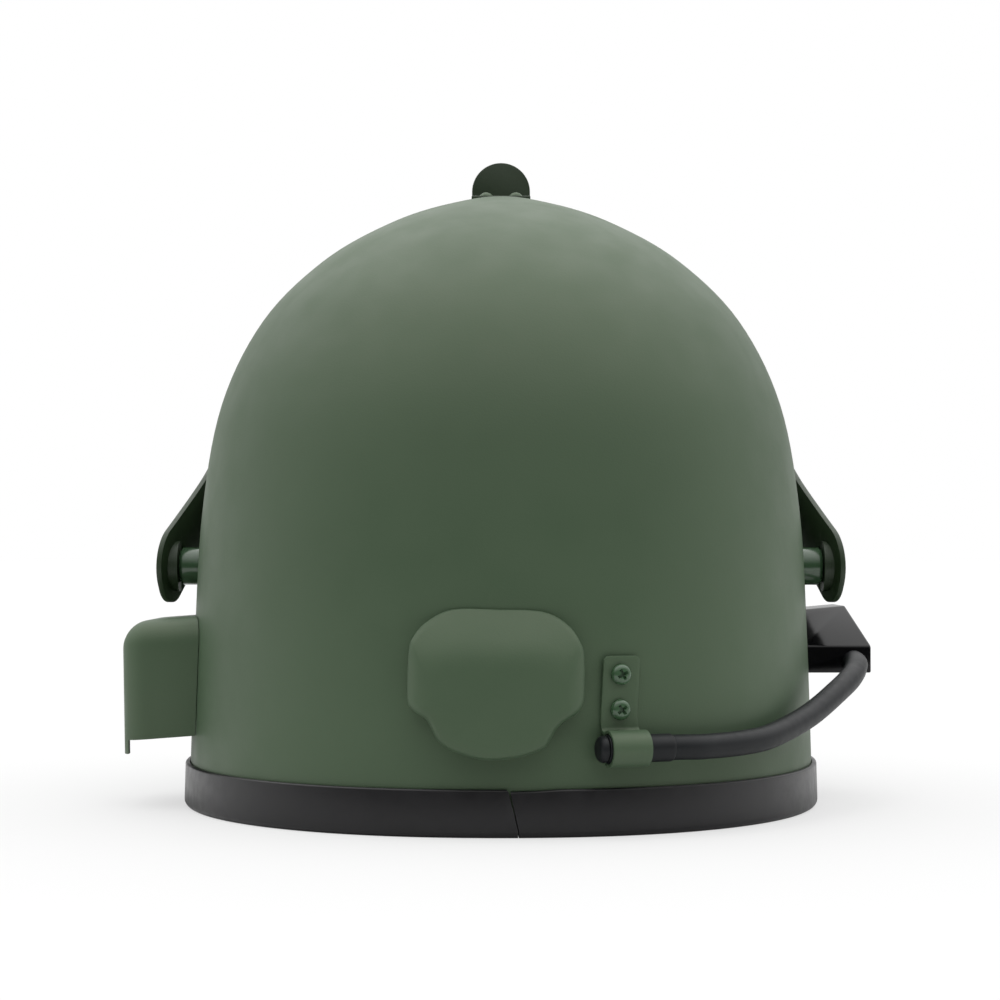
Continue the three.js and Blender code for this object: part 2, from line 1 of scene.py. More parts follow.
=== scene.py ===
# %% [markdown]
# A hard helmet with a lifting visor, seen from behind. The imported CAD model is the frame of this
# lesson: it says how big every piece is, where it sits and what it moves with. Each piece is modelled
# again here with finer curves and softened edges, stands in for its CAD solid, and gets its paint,
# rubber, plastic or glass.

# %% Load the frame
import bisect
import math

import bmesh
import bpy
from mathutils import Matrix, Vector


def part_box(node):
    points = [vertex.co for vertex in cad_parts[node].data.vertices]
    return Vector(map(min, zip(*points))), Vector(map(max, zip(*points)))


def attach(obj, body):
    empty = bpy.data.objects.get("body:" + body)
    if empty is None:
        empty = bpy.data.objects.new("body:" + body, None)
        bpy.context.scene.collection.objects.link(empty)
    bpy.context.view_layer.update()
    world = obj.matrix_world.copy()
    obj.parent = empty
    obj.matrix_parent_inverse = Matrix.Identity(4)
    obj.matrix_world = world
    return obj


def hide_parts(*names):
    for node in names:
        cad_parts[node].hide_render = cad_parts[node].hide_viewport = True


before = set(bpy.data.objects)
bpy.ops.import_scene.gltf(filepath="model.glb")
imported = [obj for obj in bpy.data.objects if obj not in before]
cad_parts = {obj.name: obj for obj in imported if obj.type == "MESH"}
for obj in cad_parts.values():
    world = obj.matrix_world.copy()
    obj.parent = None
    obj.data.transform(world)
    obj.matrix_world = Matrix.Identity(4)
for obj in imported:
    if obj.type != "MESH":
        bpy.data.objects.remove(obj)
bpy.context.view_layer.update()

MM = 0.001
scene = bpy.context.scene

# %% [markdown]
# The shell is an oval dome, and most of the other pieces sit on it, so its form comes first. Seen from
# behind, its outline runs smoothly through a few rows of half-width and height. Seen from above, each
# level is a slightly squared ellipse, a tenth deeper than it is wide. All the pieces are drawn in
# millimetres round the shell's own centre, with heights counted from a level inside the rubber rim,
# and are scaled to metres and put in place when they are finished.

# %% The shell's outline
SHELL_ROWS = [
    # half width, height
    (131.4, -6.4),
    (129.5, 60),
    (126.5, 115),
    (118.6, 160),
    (101.8, 195),
    (77.7, 220),
    (51.8, 236),
    (27.3, 245.5),
    (0, 250.9),
    (-27.3, 245.5),
]
APEX_ROW = 8
APEX = SHELL_ROWS[APEX_ROW][1]
DEPTH_RATIO = 1.1
GROUND = -6.4
ROW_STEPS = 64

_, shell_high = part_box("shell")
CENTRE_Y = shell_high.y / MM - DEPTH_RATIO * SHELL_ROWS[0][0]
DATUM = shell_high.z / MM - APEX
PLACING = Matrix.Scale(MM, 4) @ Matrix.Translation((0, CENTRE_Y, DATUM))


def curve_point(rows, at):
    """The point of a smooth curve that runs through rows, at a place counted in rows."""
    row = max(0, min(int(at), len(rows) - 2))
    ahead = at - row
    before, start, end, after = (
        Vector(rows[max(0, min(index, len(rows) - 1))]) for index in (row - 1, row, row + 1, row + 2)
    )
    leave = (end - before) / 2
    arrive = (after - start) / 2
    cube = 2 * start - 2 * end + leave + arrive
    square = 3 * end - 3 * start - 2 * leave - arrive
    return ((cube * ahead + square) * ahead + leave) * ahead + start


PROFILE = [curve_point(SHELL_ROWS, step / ROW_STEPS) for step in range(APEX_ROW * ROW_STEPS + 1)]
PROFILE_HEIGHTS = [point.y for point in PROFILE]


def half_width_at(height):
    height = max(GROUND, min(height, APEX))
    above = max(1, min(bisect.bisect_left(PROFILE_HEIGHTS, height), len(PROFILE) - 1))
    low, high = PROFILE[above - 1], PROFILE[above]
    return low.x + (high.x - low.x) * (height - low.y) / (high.y - low.y)


print("shell centre y and datum height in mm:", round(CENTRE_Y, 2), round(DATUM, 2))

# %% [markdown]
# A rubber edge or a pad has to follow the shell closely, so its points are found on the shell itself.
# A place is given as a turn round the shell and a height. The slope there comes from two short steps
# over the surface, and shows the way straight out.

# %% Places on the shell
ROUNDNESS = 2.15
NEAR_TURN = 0.004
NEAR_HEIGHT = 0.7


def squared(value):
    """Pushes a cosine or a sine out a little, which squares a circle."""
    return math.copysign(abs(value) ** (2 / ROUNDNESS), value)


def unsquared(share):
    return math.copysign(abs(share) ** (ROUNDNESS / 2), share)


def shell_point(turn, height, stand_off=0.0):
    """A point over the shell. A turn of 0 is the wearer's left, a quarter turn is the back."""
    def surface(angle, up):
        half = half_width_at(up)
        return Vector((half * squared(math.cos(angle)), DEPTH_RATIO * half * squared(math.sin(angle)), up))

    here = surface(turn, height)
    if stand_off == 0:
        return here
    along = surface(turn + NEAR_TURN, height) - surface(turn - NEAR_TURN, height)
    upward = surface(turn, height + NEAR_HEIGHT) - surface(turn, height - NEAR_HEIGHT)
    return here + along.cross(upward).normalized() * stand_off


def turn_at(x, height, front=False):
    """The turn at which the shell's surface passes through x at a height."""
    share = max(-1, min(x / half_width_at(height), 1))
    turn = math.acos(unsquared(share))
    return -turn if front else turn


def back_at(x, height):
    return shell_point(turn_at(x, height), height).y


print("the shell's back at the rim in mm:", round(back_at(0, 0), 1))

# %% [markdown]
# The camera stands where the photographer stood: behind the wearer, a metre away, a little below the
# middle of the shell, and looks very slightly up. Its lens shows one millimetre at the shell's centre
# as 2.33 pixels of the thousand.

# %% Camera
PHOTO_SIDE = 1000
PIXELS_PER_RADIAN = 2330
CAMERA_DISTANCE = 1000
EYE_HEIGHT = 98
HORIZON_PIXEL = 553
MIDDLE_PIXEL = 501
SENSOR_WIDTH = 36


def make_camera():
    data = bpy.data.cameras.new("camera")
    data.sensor_width = SENSOR_WIDTH
    data.lens = SENSOR_WIDTH * PIXELS_PER_RADIAN / PHOTO_SIDE
    camera = bpy.data.objects.new("camera", data)
    scene.collection.objects.link(camera)
    up = (HORIZON_PIXEL - PHOTO_SIDE / 2) / PIXELS_PER_RADIAN * CAMERA_DISTANCE
    aside = (MIDDLE_PIXEL - PHOTO_SIDE / 2) / PIXELS_PER_RADIAN * CAMERA_DISTANCE
    camera.location = PLACING @ Vector((0, CAMERA_DISTANCE, EYE_HEIGHT))
    target = PLACING @ Vector((aside, 0, EYE_HEIGHT + up))
    camera.rotation_euler = (target - camera.location).to_track_quat("-Z", "Y").to_euler()
    scene.camera = camera
    print("lens in mm:", round(data.lens, 1))


make_camera()

# %% [markdown]
# These helpers make the basic meshes. A flat outline is extruded to a bar, or a chain of vertices is
# spun round an axis, as a lathe would turn it. Both are bmesh operators, so the faces come of
# themselves, and the outlines are all that has to be measured.

# %% Helpers for meshes
SAME_PLACE = 1e-4


def rounded_outline(corners, steps):
    """The points of a closed outline whose corners (across, up, radius) are rounded by arcs."""
    points = []

    def add(point):
        if not points or (points[-1] - point).length > SAME_PLACE:
            points.append(point)

    for index, (across, up, radius) in enumerate(corners):
        here = Vector((across, up))
        if radius == 0:
            add(here)
            continue
        before = (Vector(corners[index - 1][:2]) - here).normalized()
        after = (Vector(corners[(index + 1) % len(corners)][:2]) - here).normalized()
        half_turn = before.angle(after) / 2
        centre = here + (before + after).normalized() * radius / math.sin(half_turn)
        start = here + before * radius / math.tan(half_turn) - centre
        end = here + after * radius / math.tan(half_turn) - centre
        sweep = start.angle_signed(end)
        for step in range(steps + 1):
            arm = start.copy()
            arm.rotate(Matrix.Rotation(-sweep * step / steps, 2))
            add(centre + arm)
    return points


def extruded(points, push):
    """A solid from a flat closed outline of points, pushed along a vector."""
    bm = bmesh.new()
    face = bm.faces.new([bm.verts.new(point) for point in points])
    made = bmesh.ops.extrude_face_region(bm, geom=[face])["geom"]
    moved = [part for part in made if isinstance(part, bmesh.types.BMVert)]
    bmesh.ops.translate(bm, vec=push, verts=moved)
    bmesh.ops.recalc_face_normals(bm, faces=bm.faces)
    return bm


def bar_along_y(outline, start, end):
    """A solid from an outline drawn in (x, z)."""
    return extruded([Vector((x, start, z)) for x, z in outline], Vector((0, end - start, 0)))


def spun(outline, steps, merge):
    """A chain of points (radius, height), spun once round the Z axis."""
    bm = bmesh.new()
    chain = [bm.verts.new((radius, 0, height)) for radius, height in outline]
    edges = [bm.edges.new(pair) for pair in zip(chain, chain[1:])]
    bmesh.ops.spin(
        bm, geom=chain + edges, cent=(0, 0, 0), axis=(0, 0, 1),
        angle=2 * math.pi, steps=steps, use_merge=True,
    )
    bmesh.ops.remove_doubles(bm, verts=bm.verts, dist=merge)
    return bm


def turned(outline, steps):
    """A turned piece with its faces pointing outwards."""
    bm = spun(outline, steps, SAME_PLACE)
    bmesh.ops.recalc_face_normals(bm, faces=bm.faces)
    return bm


def quarter_arc(radius, height, wide, tall, steps):
    """The points of a quarter of an oval, from a wall to a top, without the one on the wall."""
    angles = [math.pi / 2 * step / steps for step in range(1, steps + 1)]
    return [(radius + wide * math.cos(angle), height + tall * math.sin(angle)) for angle in angles]


def closed_ends(bm):
    bmesh.ops.holes_fill(bm, edges=[edge for edge in bm.edges if edge.is_boundary], sides=0)
    bmesh.ops.recalc_face_normals(bm, faces=bm.faces)
    return bm


# %% [markdown]
# The next helpers turn a bmesh into an object, cut objects with each other, and finish them. A boolean
# gives the exact line where a piece meets the shell. A finished piece hides the CAD node it stands
# for, rides on its body and gets its finish. Its open edges are
# counted too, as a piece without any is a closed solid.

# %% Helpers for pieces
FINAL_MERGE = 0.001


def piece_from(bm, name):
    mesh = bpy.data.meshes.new(name)
    bm.to_mesh(mesh)
    bm.free()
    piece = bpy.data.objects.new(name, mesh)
    scene.collection.objects.link(piece)
    return piece


def settle(piece):
    """Applies the piece's modifiers to its mesh."""
    shaped = piece.evaluated_get(bpy.context.evaluated_depsgraph_get())
    mesh = bpy.data.meshes.new_from_object(shaped)
    piece.modifiers.clear()
    piece.data = mesh


def combine(piece, bm, operation="DIFFERENCE"):
    """Cuts a bmesh's solid out of a piece, joins it on, or keeps only what lies in both."""
    tool = piece_from(bm, "tool")
    boolean = piece.modifiers.new("boolean", "BOOLEAN")
    boolean.operation = operation
    boolean.solver = "EXACT"
    boolean.object = tool
    settle(piece)
    bpy.data.objects.remove(tool)


def finish_piece(piece, node, material, body="helmet", sharp=32):
    """Puts a piece in its place, in metres, and hides the CAD node it stands for."""
    bm = bmesh.new()
    bm.from_mesh(piece.data)
    bmesh.ops.remove_doubles(bm, verts=bm.verts, dist=FINAL_MERGE)
    bmesh.ops.recalc_face_normals(bm, faces=bm.faces)
    bm.transform(PLACING)
    bm.to_mesh(piece.data)
    open_edges = sum(1 for edge in bm.edges if edge.is_boundary)
    bm.free()
    mesh = piece.data
    mesh.materials.clear()
    mesh.materials.append(material)
    mesh.shade_smooth()
    mesh.set_sharp_from_angle(angle=math.radians(sharp))
    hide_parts(node)
    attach(piece, body)
    triangles = sum(len(face.vertices) - 2 for face in mesh.polygons)
    print(f"{piece.name}: {triangles} triangles, {open_edges} open edges")


# %% [markdown]
# Every finish is built from the same few nodes. Noises read Object coordinates, so their grain has one
# real size on every piece and moves with the visor. A stretched noise mixes two near colours or two
# degrees of gloss, and a fine one goes to the bump.

# %% Helpers for finishes
def new_material(name):
    material = bpy.data.materials.new(name)
    material.use_nodes = True
    tree = material.node_tree
    shader = next(node for node in tree.nodes if node.type == "BSDF_PRINCIPLED")
    place = tree.nodes.new("ShaderNodeTexCoord").outputs["Object"]
    return material, tree, shader, place


def noise(tree, place, scale, detail=3.0):
    node = tree.nodes.new("ShaderNodeTexNoise")
    node.inputs["Scale"].default_value = scale
    node.inputs["Detail"].default_value = detail
    tree.links.new(place, node.inputs["Vector"])
    return node.outputs["Fac"]


def stretched(tree, value, low, high, from_low=0.3, from_high=0.7):
    node = tree.nodes.new("ShaderNodeMapRange")
    node.inputs["From Min"].default_value = from_low
    node.inputs["From Max"].default_value = from_high
    node.inputs["To Min"].default_value = low
    node.inputs["To Max"].default_value = high
    tree.links.new(value, node.inputs["Value"])
    return node.outputs["Result"]


def two_colours(tree, value, first, second):
    node = tree.nodes.new("ShaderNodeMix")
    node.data_type = "RGBA"
    node.inputs["A"].default_value = (*first, 1)
    node.inputs["B"].default_value = (*second, 1)
    tree.links.new(value, node.inputs["Factor"])
    return node.outputs["Result"]


def bumped(tree, shader, height, distance):
    node = tree.nodes.new("ShaderNodeBump")
    node.inputs["Strength"].default_value = 1.0
    node.inputs["Distance"].default_value = distance
    tree.links.new(height, node.inputs["Height"])
    tree.links.new(node.outputs["Normal"], shader.inputs["Normal"])


def mottled(name, dark, light, patch, gloss, grain, grain_depth, settings=None):
    """A finish with two near colours in patches, an uneven gloss and a fine grain.

    Patch and grain are scales, so a larger number makes them smaller. Gloss is the lowest and the
    highest roughness. The settings are other sockets of the shader, each the same all over.
    """
    material, tree, shader, place = new_material(name)
    patches = stretched(tree, noise(tree, place, patch, 4), 0, 1)
    tree.links.new(two_colours(tree, patches, dark, light), shader.inputs["Base Color"])
    uneven = stretched(tree, noise(tree, place, 4 * patch), *gloss)
    tree.links.new(uneven, shader.inputs["Roughness"])
    bumped(tree, shader, noise(tree, place, grain, 2), grain_depth)
    for socket, value in (settings or {}).items():
        shader.inputs[socket].default_value = value
    return material


# %% [markdown]
# Three paints. The matt olive of the shell, boss, clip, guard and visor is dry and slightly grainy. The
# pivots and screws carry the same green, thicker and glossy. The crown catch and the window's frame
# are a darker satin olive, which also serves as painted shade on the visor's inner side and edges.
# Sprayed paint is never quite even, so each has faint patches.

# %% Paints
MATT_PAINT = mottled(
    "matt_paint", (0.059, 0.101, 0.056), (0.066, 0.111, 0.062), patch=14, gloss=(0.46, 0.56),
    grain=1400, grain_depth=0.045 * MM, settings={"Specular Tint": (1, 0.97, 0.84, 1)},
)
GLOSS_PAINT = mottled(
    "gloss_paint", (0.045, 0.100, 0.047), (0.053, 0.112, 0.054), patch=60, gloss=(0.18, 0.26),
    grain=700, grain_depth=0.02 * MM, settings={"Coat Weight": 0.5, "Coat Roughness": 0.12},
)
DARK_PAINT_AND_SHADE = mottled(
    "dark_paint", (0.023, 0.042, 0.018), (0.028, 0.050, 0.021), patch=40, gloss=(0.42, 0.52),
    grain=1400, grain_depth=0.03 * MM,
)
print("paints:", [paint.name for paint in (MATT_PAINT, GLOSS_PAINT, DARK_PAINT_AND_SHADE)])

# %% [markdown]
# The rubber of the edging and the cable is dull and nearly black, with faint paler patches where it
# has been handled. The box is moulded plastic, a little glossier, with an even fine texture.

# %% Rubber and plastic
EDGING_RUBBER = mottled(
    "edging_rubber", (0.004, 0.0035, 0.0045), (0.006, 0.0055, 0.007), patch=50, gloss=(0.3, 0.38),
    grain=2200, grain_depth=0.02 * MM,
)
CABLE_RUBBER = mottled(
    "cable_rubber", (0.006, 0.0075, 0.009), (0.009, 0.0105, 0.012), patch=70, gloss=(0.42, 0.5),
    grain=2400, grain_depth=0.02 * MM, settings={"Specular IOR Level": 0.28},
)
BLACK_PLASTIC = mottled(
    "black_plastic", (0.002, 0.002, 0.0025), (0.003, 0.003, 0.0035), patch=90, gloss=(0.15, 0.2),
    grain=1800, grain_depth=0.01 * MM, settings={"Specular IOR Level": 0.3},
)
print("rubber and plastic:", [stuff.name for stuff in (EDGING_RUBBER, CABLE_RUBBER, BLACK_PLASTIC)])

# %% [markdown]
# The window is a thick clear pane with a faint green tint. Transmission with a low roughness gives
# it, and the tint stays in the base colour, so the exported model keeps it.

# %% Glass
def glass(name):
    material, tree, shader, place = new_material(name)
    shader.inputs["Base Color"].default_value = (0.80, 0.88, 0.84, 1)
    shader.inputs["Transmission Weight"].default_value = 0.92
    shader.inputs["IOR"].default_value = 1.5
    smear = stretched(tree, noise(tree, place, 30), 0.02, 0.06)
    tree.links.new(smear, shader.inputs["Roughness"])
    return material


CLEAR_GLASS = glass("clear_glass")
print("glass:", CLEAR_GLASS.name)

# %% [markdown]
# The shell is one pressed metal dome. Half of its outline is a chain of vertices, which is spun once
# round the middle, and each level is then pushed into the helmet's oval. The same dome, moved in or
# out along its normals, gives the hollow inside and the line along which other pieces meet the shell.
# A subdivided ball would be quicker, but it would miss the measured outline.

# %% Shell
WALL = 3.5
SHELL_FOOT = -3.4
BELOW_SHELL = -30
SPIN_STEPS = 180
DOME_STEPS = 7
DOME_MERGE = 0.01
FACE = {"half_width": 86, "top": 150, "corner": 48, "floor": -40}
FAR_FRONT = -260
NEAR_FRONT = -30


def solid_dome(stand_off, foot=BELOW_SHELL):
    """The shell's form as a solid, moved in or out along its normals, down to a foot."""
    section = [curve_point(SHELL_ROWS, step / DOME_STEPS) for step in range(APEX_ROW * DOME_STEPS + 1)]
    bm = spun([(max(point.x, 0), point.y) for point in section], SPIN_STEPS, DOME_MERGE)
    for vert in bm.verts:
        radius = math.hypot(vert.co.x, vert.co.y)
        angle = math.atan2(vert.co.y, vert.co.x)
        vert.co.x = radius * squared(math.cos(angle))
        vert.co.y = DEPTH_RATIO * radius * squared(math.sin(angle))
    bmesh.ops.recalc_face_normals(bm, faces=bm.faces)
    bm.normal_update()
    for vert in bm.verts:
        at_foot = vert.is_boundary
        vert.co += vert.normal * stand_off
        if at_foot:
            vert.co.z = foot
    return closed_ends(bm)


def face_bar():
    """A bar from the front, with the outline of the face opening."""
    half, top, corner, floor = (FACE[key] for key in ("half_width", "top", "corner", "floor"))
    outline = rounded_outline([
        (-half, floor, 0), (half, floor, 0), (half, top, corner), (-half, top, corner),
    ], 16)
    return bar_along_y(outline, FAR_FRONT, NEAR_FRONT)


shell = piece_from(solid_dome(0, SHELL_FOOT), "helmet_shell")
combine(shell, solid_dome(-WALL))
combine(shell, face_bar())
finish_piece(shell, "shell", MATT_PAINT)

# %% [markdown]
# A rubber strip of U section is pressed over the shell's whole edge: along the bottom, round the
# corners and up over the face opening. Its two ends meet at the back in a slanting butt joint. A curve
# with a bevel profile would twist on this double bend, so a grid is laid instead: one way it runs round
# the U, the other way along the edge, and each of its points is found on the shell's own surface. This
# cell draws the U and the joint.

# %% The edging's section and joint
EDGING = {"over": 14.8, "under": 3, "proud": 2.1, "inside": 2.2, "slack": 0.25}
SEAM = {"top_x": -2.9, "low_x": -6.4, "straight": 2, "half_gap": 0.16, "notch": 0.95,
        "notch_from": 13, "notch_to": 14.8}


def share_between(value, start, end):
    """How far a value has come from start to end, held between 0 and 1."""
    return max(0, min((value - start) / (end - start), 1))


def mixed(first, second, share):
    return first + (second - first) * share


def edging_section():
    """The U as corners (reach over the shell, stand-off, radius)."""
    over, under, slack = EDGING["over"], -EDGING["under"], EDGING["slack"]
    out, inner = EDGING["proud"], -WALL - EDGING["inside"]
    return rounded_outline([
        (over, slack, 0.2),
        (over, out, 0.9),
        (under, out, 2.4),
        (under, inner, 2.4),
        (over, inner, 0.9),
        (over, -WALL - slack, 0.2),
        (-slack, -WALL - slack, 0.3),
        (-slack, slack, 0.3),
    ], 5)


def seam_x(reach):
    """Where the butt joint runs: straight down at first, then slanting to the wearer's left."""
    return mixed(SEAM["low_x"], SEAM["top_x"], share_between(reach, SEAM["straight"], EDGING["over"]))


def seam_half_gap(reach):
    """The joint is tight, and opens in a small notch at its top."""
    notch = share_between(reach, SEAM["notch_from"], SEAM["notch_to"])
    return SEAM["half_gap"] + SEAM["notch"] * notch ** 2


def rear_end(side):
    """An end of the strip, at the wearer's left (1) or right (-1) of the joint."""
    def place(reach):
        height = SHELL_FOOT + reach
        return turn_at(seam_x(reach) + side * seam_half_gap(reach), height), height
    return place


print("edging height over the ground in mm:", round(SHELL_FOOT + EDGING["over"] - GROUND, 1))

# %% [markdown]
# Next come the stations of the strip. A station is a function: for each reach over the shell's edge it
# gives a turn and a height. Along the rim the reach goes up, at the face opening it goes away from the
# opening, and where the two meet, the stations between them are a mix of both.

# %% The edging's stations
OPENING_STEP = 2.0
EDGE_STEPS = {"rim": 90, "side": 14, "corner": 18, "top": 6}
MEETING_SHARES = (0.33, 0.67)
END_MARGIN = {"seam": 0.03, "corner": 0.02}


def along_rim(turn):
    return lambda reach: (turn, SHELL_FOOT + reach)


def at_opening(x, z, out_x, out_z):
    """A place on the face opening's edge, with the direction away from the opening."""
    step = OPENING_STEP
    here = shell_point(turn_at(x, z, True), z)
    there = shell_point(turn_at(x + out_x * step, z + out_z * step, True), z + out_z * step)
    shrink = step / (there - here).length

    def place(reach):
        height = z + out_z * reach * shrink
        return turn_at(x + out_x * reach * shrink, height, True), height
    return place


def at_low_corner(side):
    side_of = at_opening(side * FACE["half_width"], SHELL_FOOT + 5, side, 0)

    def place(reach):
        turn, height = side_of(reach)
        x = shell_point(turn, height).x
        return turn_at(x, SHELL_FOOT + reach, True), SHELL_FOOT + reach
    return place


def between(first, second, share):
    def place(reach):
        turn_a, height_a = first(reach)
        turn_b, height_b = second(reach)
        return mixed(turn_a, turn_b, share), mixed(height_a, height_b, share)
    return place


def half_of_edge(side):
    """Stations of the strip from the joint at the back to the top of the face opening."""
    wrap = 0 if side > 0 else 2 * math.pi

    def wrapped(place):
        return lambda reach: (place(reach)[0] + wrap, place(reach)[1])

    low_corner = wrapped(at_low_corner(side))
    start = rear_end(side)(0)[0] - side * END_MARGIN["seam"]
    end = low_corner(EDGING["over"])[0] + side * END_MARGIN["corner"]
    steps = EDGE_STEPS["rim"]
    turns = [start + (end - start) * step / steps for step in range(steps + 1)]
    stations = [rear_end(side)] + [along_rim(turn) for turn in turns]
    last_rim = stations[-1]
    stations += [between(last_rim, low_corner, share) for share in MEETING_SHARES]
    stations.append(low_corner)
    half, top, corner = FACE["half_width"], FACE["top"], FACE["corner"]
    low_side = SHELL_FOOT + EDGING["over"] + 1
    steps = EDGE_STEPS["side"]
    straight = [low_side + (top - corner - low_side) * step / steps for step in range(steps + 1)]
    sides = [wrapped(at_opening(side * half, z, side, 0)) for z in straight]
    stations += [between(low_corner, sides[0], share) for share in MEETING_SHARES]
    stations += sides
    steps = EDGE_STEPS["corner"]
    for step in range(1, steps + 1):
        angle = math.pi / 2 * step / steps
        out_x, out_z = side * math.cos(angle), math.sin(angle)
        x = side * (half - corner) + corner * out_x
        stations.append(wrapped(at_opening(x, top - corner + corner * out_z, out_x, out_z)))
    steps = EDGE_STEPS["top"]
    for step in range(1, steps + 1):
        x = side * (half - corner) * (1 - step / steps)
        stations.append(wrapped(at_opening(x, top, 0, 1)))
    return stations


print("stations on each half of the edge:", len(half_of_edge(1)), len(half_of_edge(-1)))

# %% [markdown]
# The grid is laid over all the stations, with the U at each of them. A grid whose first and last rows
# meet becomes a tube when its doubles are merged, and its two open ends are filled. At the joint one
# end sags a little, as it does on the real strip.

# %% Rubber edging
DIP = {"deep": 0.7, "stations": 4}


def laid_grid(columns, rows, place):
    """A grid of faces, each corner of which is put where place(share along, share up) says."""
    bm = bmesh.new()
    bmesh.ops.create_grid(bm, x_segments=columns, y_segments=rows, size=1)
    for vert in bm.verts:
        vert.co = place((vert.co.x + 1) / 2, (vert.co.y + 1) / 2)
    bmesh.ops.remove_doubles(bm, verts=bm.verts, dist=SAME_PLACE)
    return bm


def make_edging():
    section = edging_section()
    section.append(section[0])
    left = half_of_edge(1)
    right = half_of_edge(-1)
    stations = left + right[-2::-1]
    places = []
    for index, station in enumerate(stations):
        to_end = len(stations) - 1 - index
        dip = DIP["deep"] * max(0, 1 - to_end / DIP["stations"])
        ring = []
        for reach, stand_off in section:
            lowered = reach - dip * max(0, reach) / EDGING["over"]
            turn, height = station(lowered)
            ring.append(shell_point(turn, height, stand_off))
        places.append(ring)
    columns, rows = len(stations) - 1, len(section) - 1
    bm = laid_grid(columns, rows, lambda along, up: places[round(along * columns)][round(up * rows)])
    for vert in bm.verts:
        vert.co.z = max(vert.co.z, GROUND)
    return piece_from(closed_ends(bm), "rubber_edging")


edging = make_edging()
finish_piece(edging, "rim_edging", EDGING_RUBBER, sharp=50)

# %% [markdown]
# The raised pad on the back is pressed or moulded, with a crisp foot, a long slope at its top, and a
# steep wall round its sides and below, which a softer fold joins to the face. A grid is laid from the
# outline inwards: each ring is the outline drawn in towards a middle point, and stands a little
# further off the shell.

# %% Rear boss
BOSS_OUTLINE = [
    # x, height, clockwise as seen from behind
    (18, 77.2), (1.5, 77.2), (-15.4, 76.4), (-24.8, 71.4), (-29.3, 64.8), (-30.4, 60.6), (-30.6, 52),
    (-30.1, 43.6), (-28, 39.6), (-23.8, 36.9), (-21, 34.6), (-18.7, 31), (-15.8, 26.9), (-7.9, 24),
    (1.5, 22.7), (9.4, 23.2), (18.4, 26.2), (23, 29.4), (25.4, 33.8), (27.5, 37.2), (32.6, 40.8),
    (34.2, 44), (34.3, 52), (33.9, 61.6), (32.6, 66.6), (27.8, 72.4),
]
BOSS_MIDDLE = (1.8, 42)
BOSS_RAMP = {"side": 0.24, "top": 0.76, "foot": 0.08}
BOSS_SHOULDER = (36, 47)
BOSS_SLOPE = (66, 77.2)
BOSS_LEVELS = [
    # share of the ramp, stand-off at the top, stand-off elsewhere
    (0, -3.5, -3.5), (0, 0.4, 3), (0, 1, 6.6), (0.02, 1.4, 7.6), (0.12, 3.2, 8.4), (0.25, 5.5, 9.2),
    (0.4, 7.8, 9.9), (0.53, 9.4, 10.3), (0.66, 10.3, 10.6), (0.8, 10.8, 10.9), (1, 11, 11), (1.2, 11.1, 11.1),
]
BOSS_TOP = 11.1
BOSS_TOP_SHARES = (0.8, 0.6, 0.4, 0.2, 0)
BOSS_STEPS = 132
BOSS_SUNK = 0.05


def make_boss():
    rows = BOSS_OUTLINE
    loop = [rows[-1], *rows, rows[0], rows[1]]
    outline = [curve_point(loop, 1 + len(rows) * step / BOSS_STEPS) for step in range(BOSS_STEPS)]
    outline.append(outline[0])
    levels = [(ramp, 1, sloped, steep) for ramp, sloped, steep in BOSS_LEVELS]
    full_ramp = BOSS_LEVELS[-1][0]
    levels += [(full_ramp, share, BOSS_TOP, BOSS_TOP) for share in BOSS_TOP_SHARES]

    def place(along, up):
        point = outline[round(along * BOSS_STEPS)]
        ramp, share, sloped, steep = levels[round(up * (len(levels) - 1))]
        stand_off = mixed(steep, sloped, share_between(point.y, *BOSS_SLOPE))
        from_x = point.x - BOSS_MIDDLE[0]
        from_z = point.y - BOSS_MIDDLE[1]
        lift = BOSS_RAMP["top"] if from_z > 0 else BOSS_RAMP["foot"]
        upper = share_between(point.y, *BOSS_SHOULDER)
        narrow = mixed(BOSS_RAMP["foot"], BOSS_RAMP["side"], upper)
        x = BOSS_MIDDLE[0] + from_x * (1 - narrow * ramp) * share
        z = BOSS_MIDDLE[1] + from_z * (1 - lift * ramp) * share
        return Vector((x, back_at(x, z) + stand_off, z))

    bm = laid_grid(BOSS_STEPS, len(levels) - 1, place)
    return piece_from(closed_ends(bm), "rear_boss_pad")


boss = make_boss()
combine(boss, solid_dome(BOSS_SUNK))
finish_piece(boss, "rear_boss", MATT_PAINT, sharp=60)

# %% [markdown]
# On the crown sits a small angle of sheet metal. Its foot is riveted down and its round-topped tab
# stands up, to catch the lifted visor. It is an L section pushed along X, cut to the tab's outline.
# Its foot is cut off a small gap above the shell, as two solids that touch would flicker.

# %% Crown catch
GAP = 0.3
CATCH = {"half_width": 12.7, "sheet": 2, "front": -20, "rear": -1, "top": 269, "plate": 252,
         "foot_depth": 8, "tab_foot": 230, "tab_reach": 30}
BEVEL_ANGLE = 60


def bar_along_x(outline, start, end):
    """A solid from an outline drawn in (y, z)."""
    return extruded([Vector((start, y, z)) for y, z in outline], Vector((end - start, 0, 0)))


def bevel_piece(piece, width, segments=2):
    bevel = piece.modifiers.new("bevel", "BEVEL")
    bevel.width = width
    bevel.segments = segments
    bevel.limit_method = "ANGLE"
    bevel.angle_limit = math.radians(BEVEL_ANGLE)
    bevel.use_clamp_overlap = True
    settle(piece)


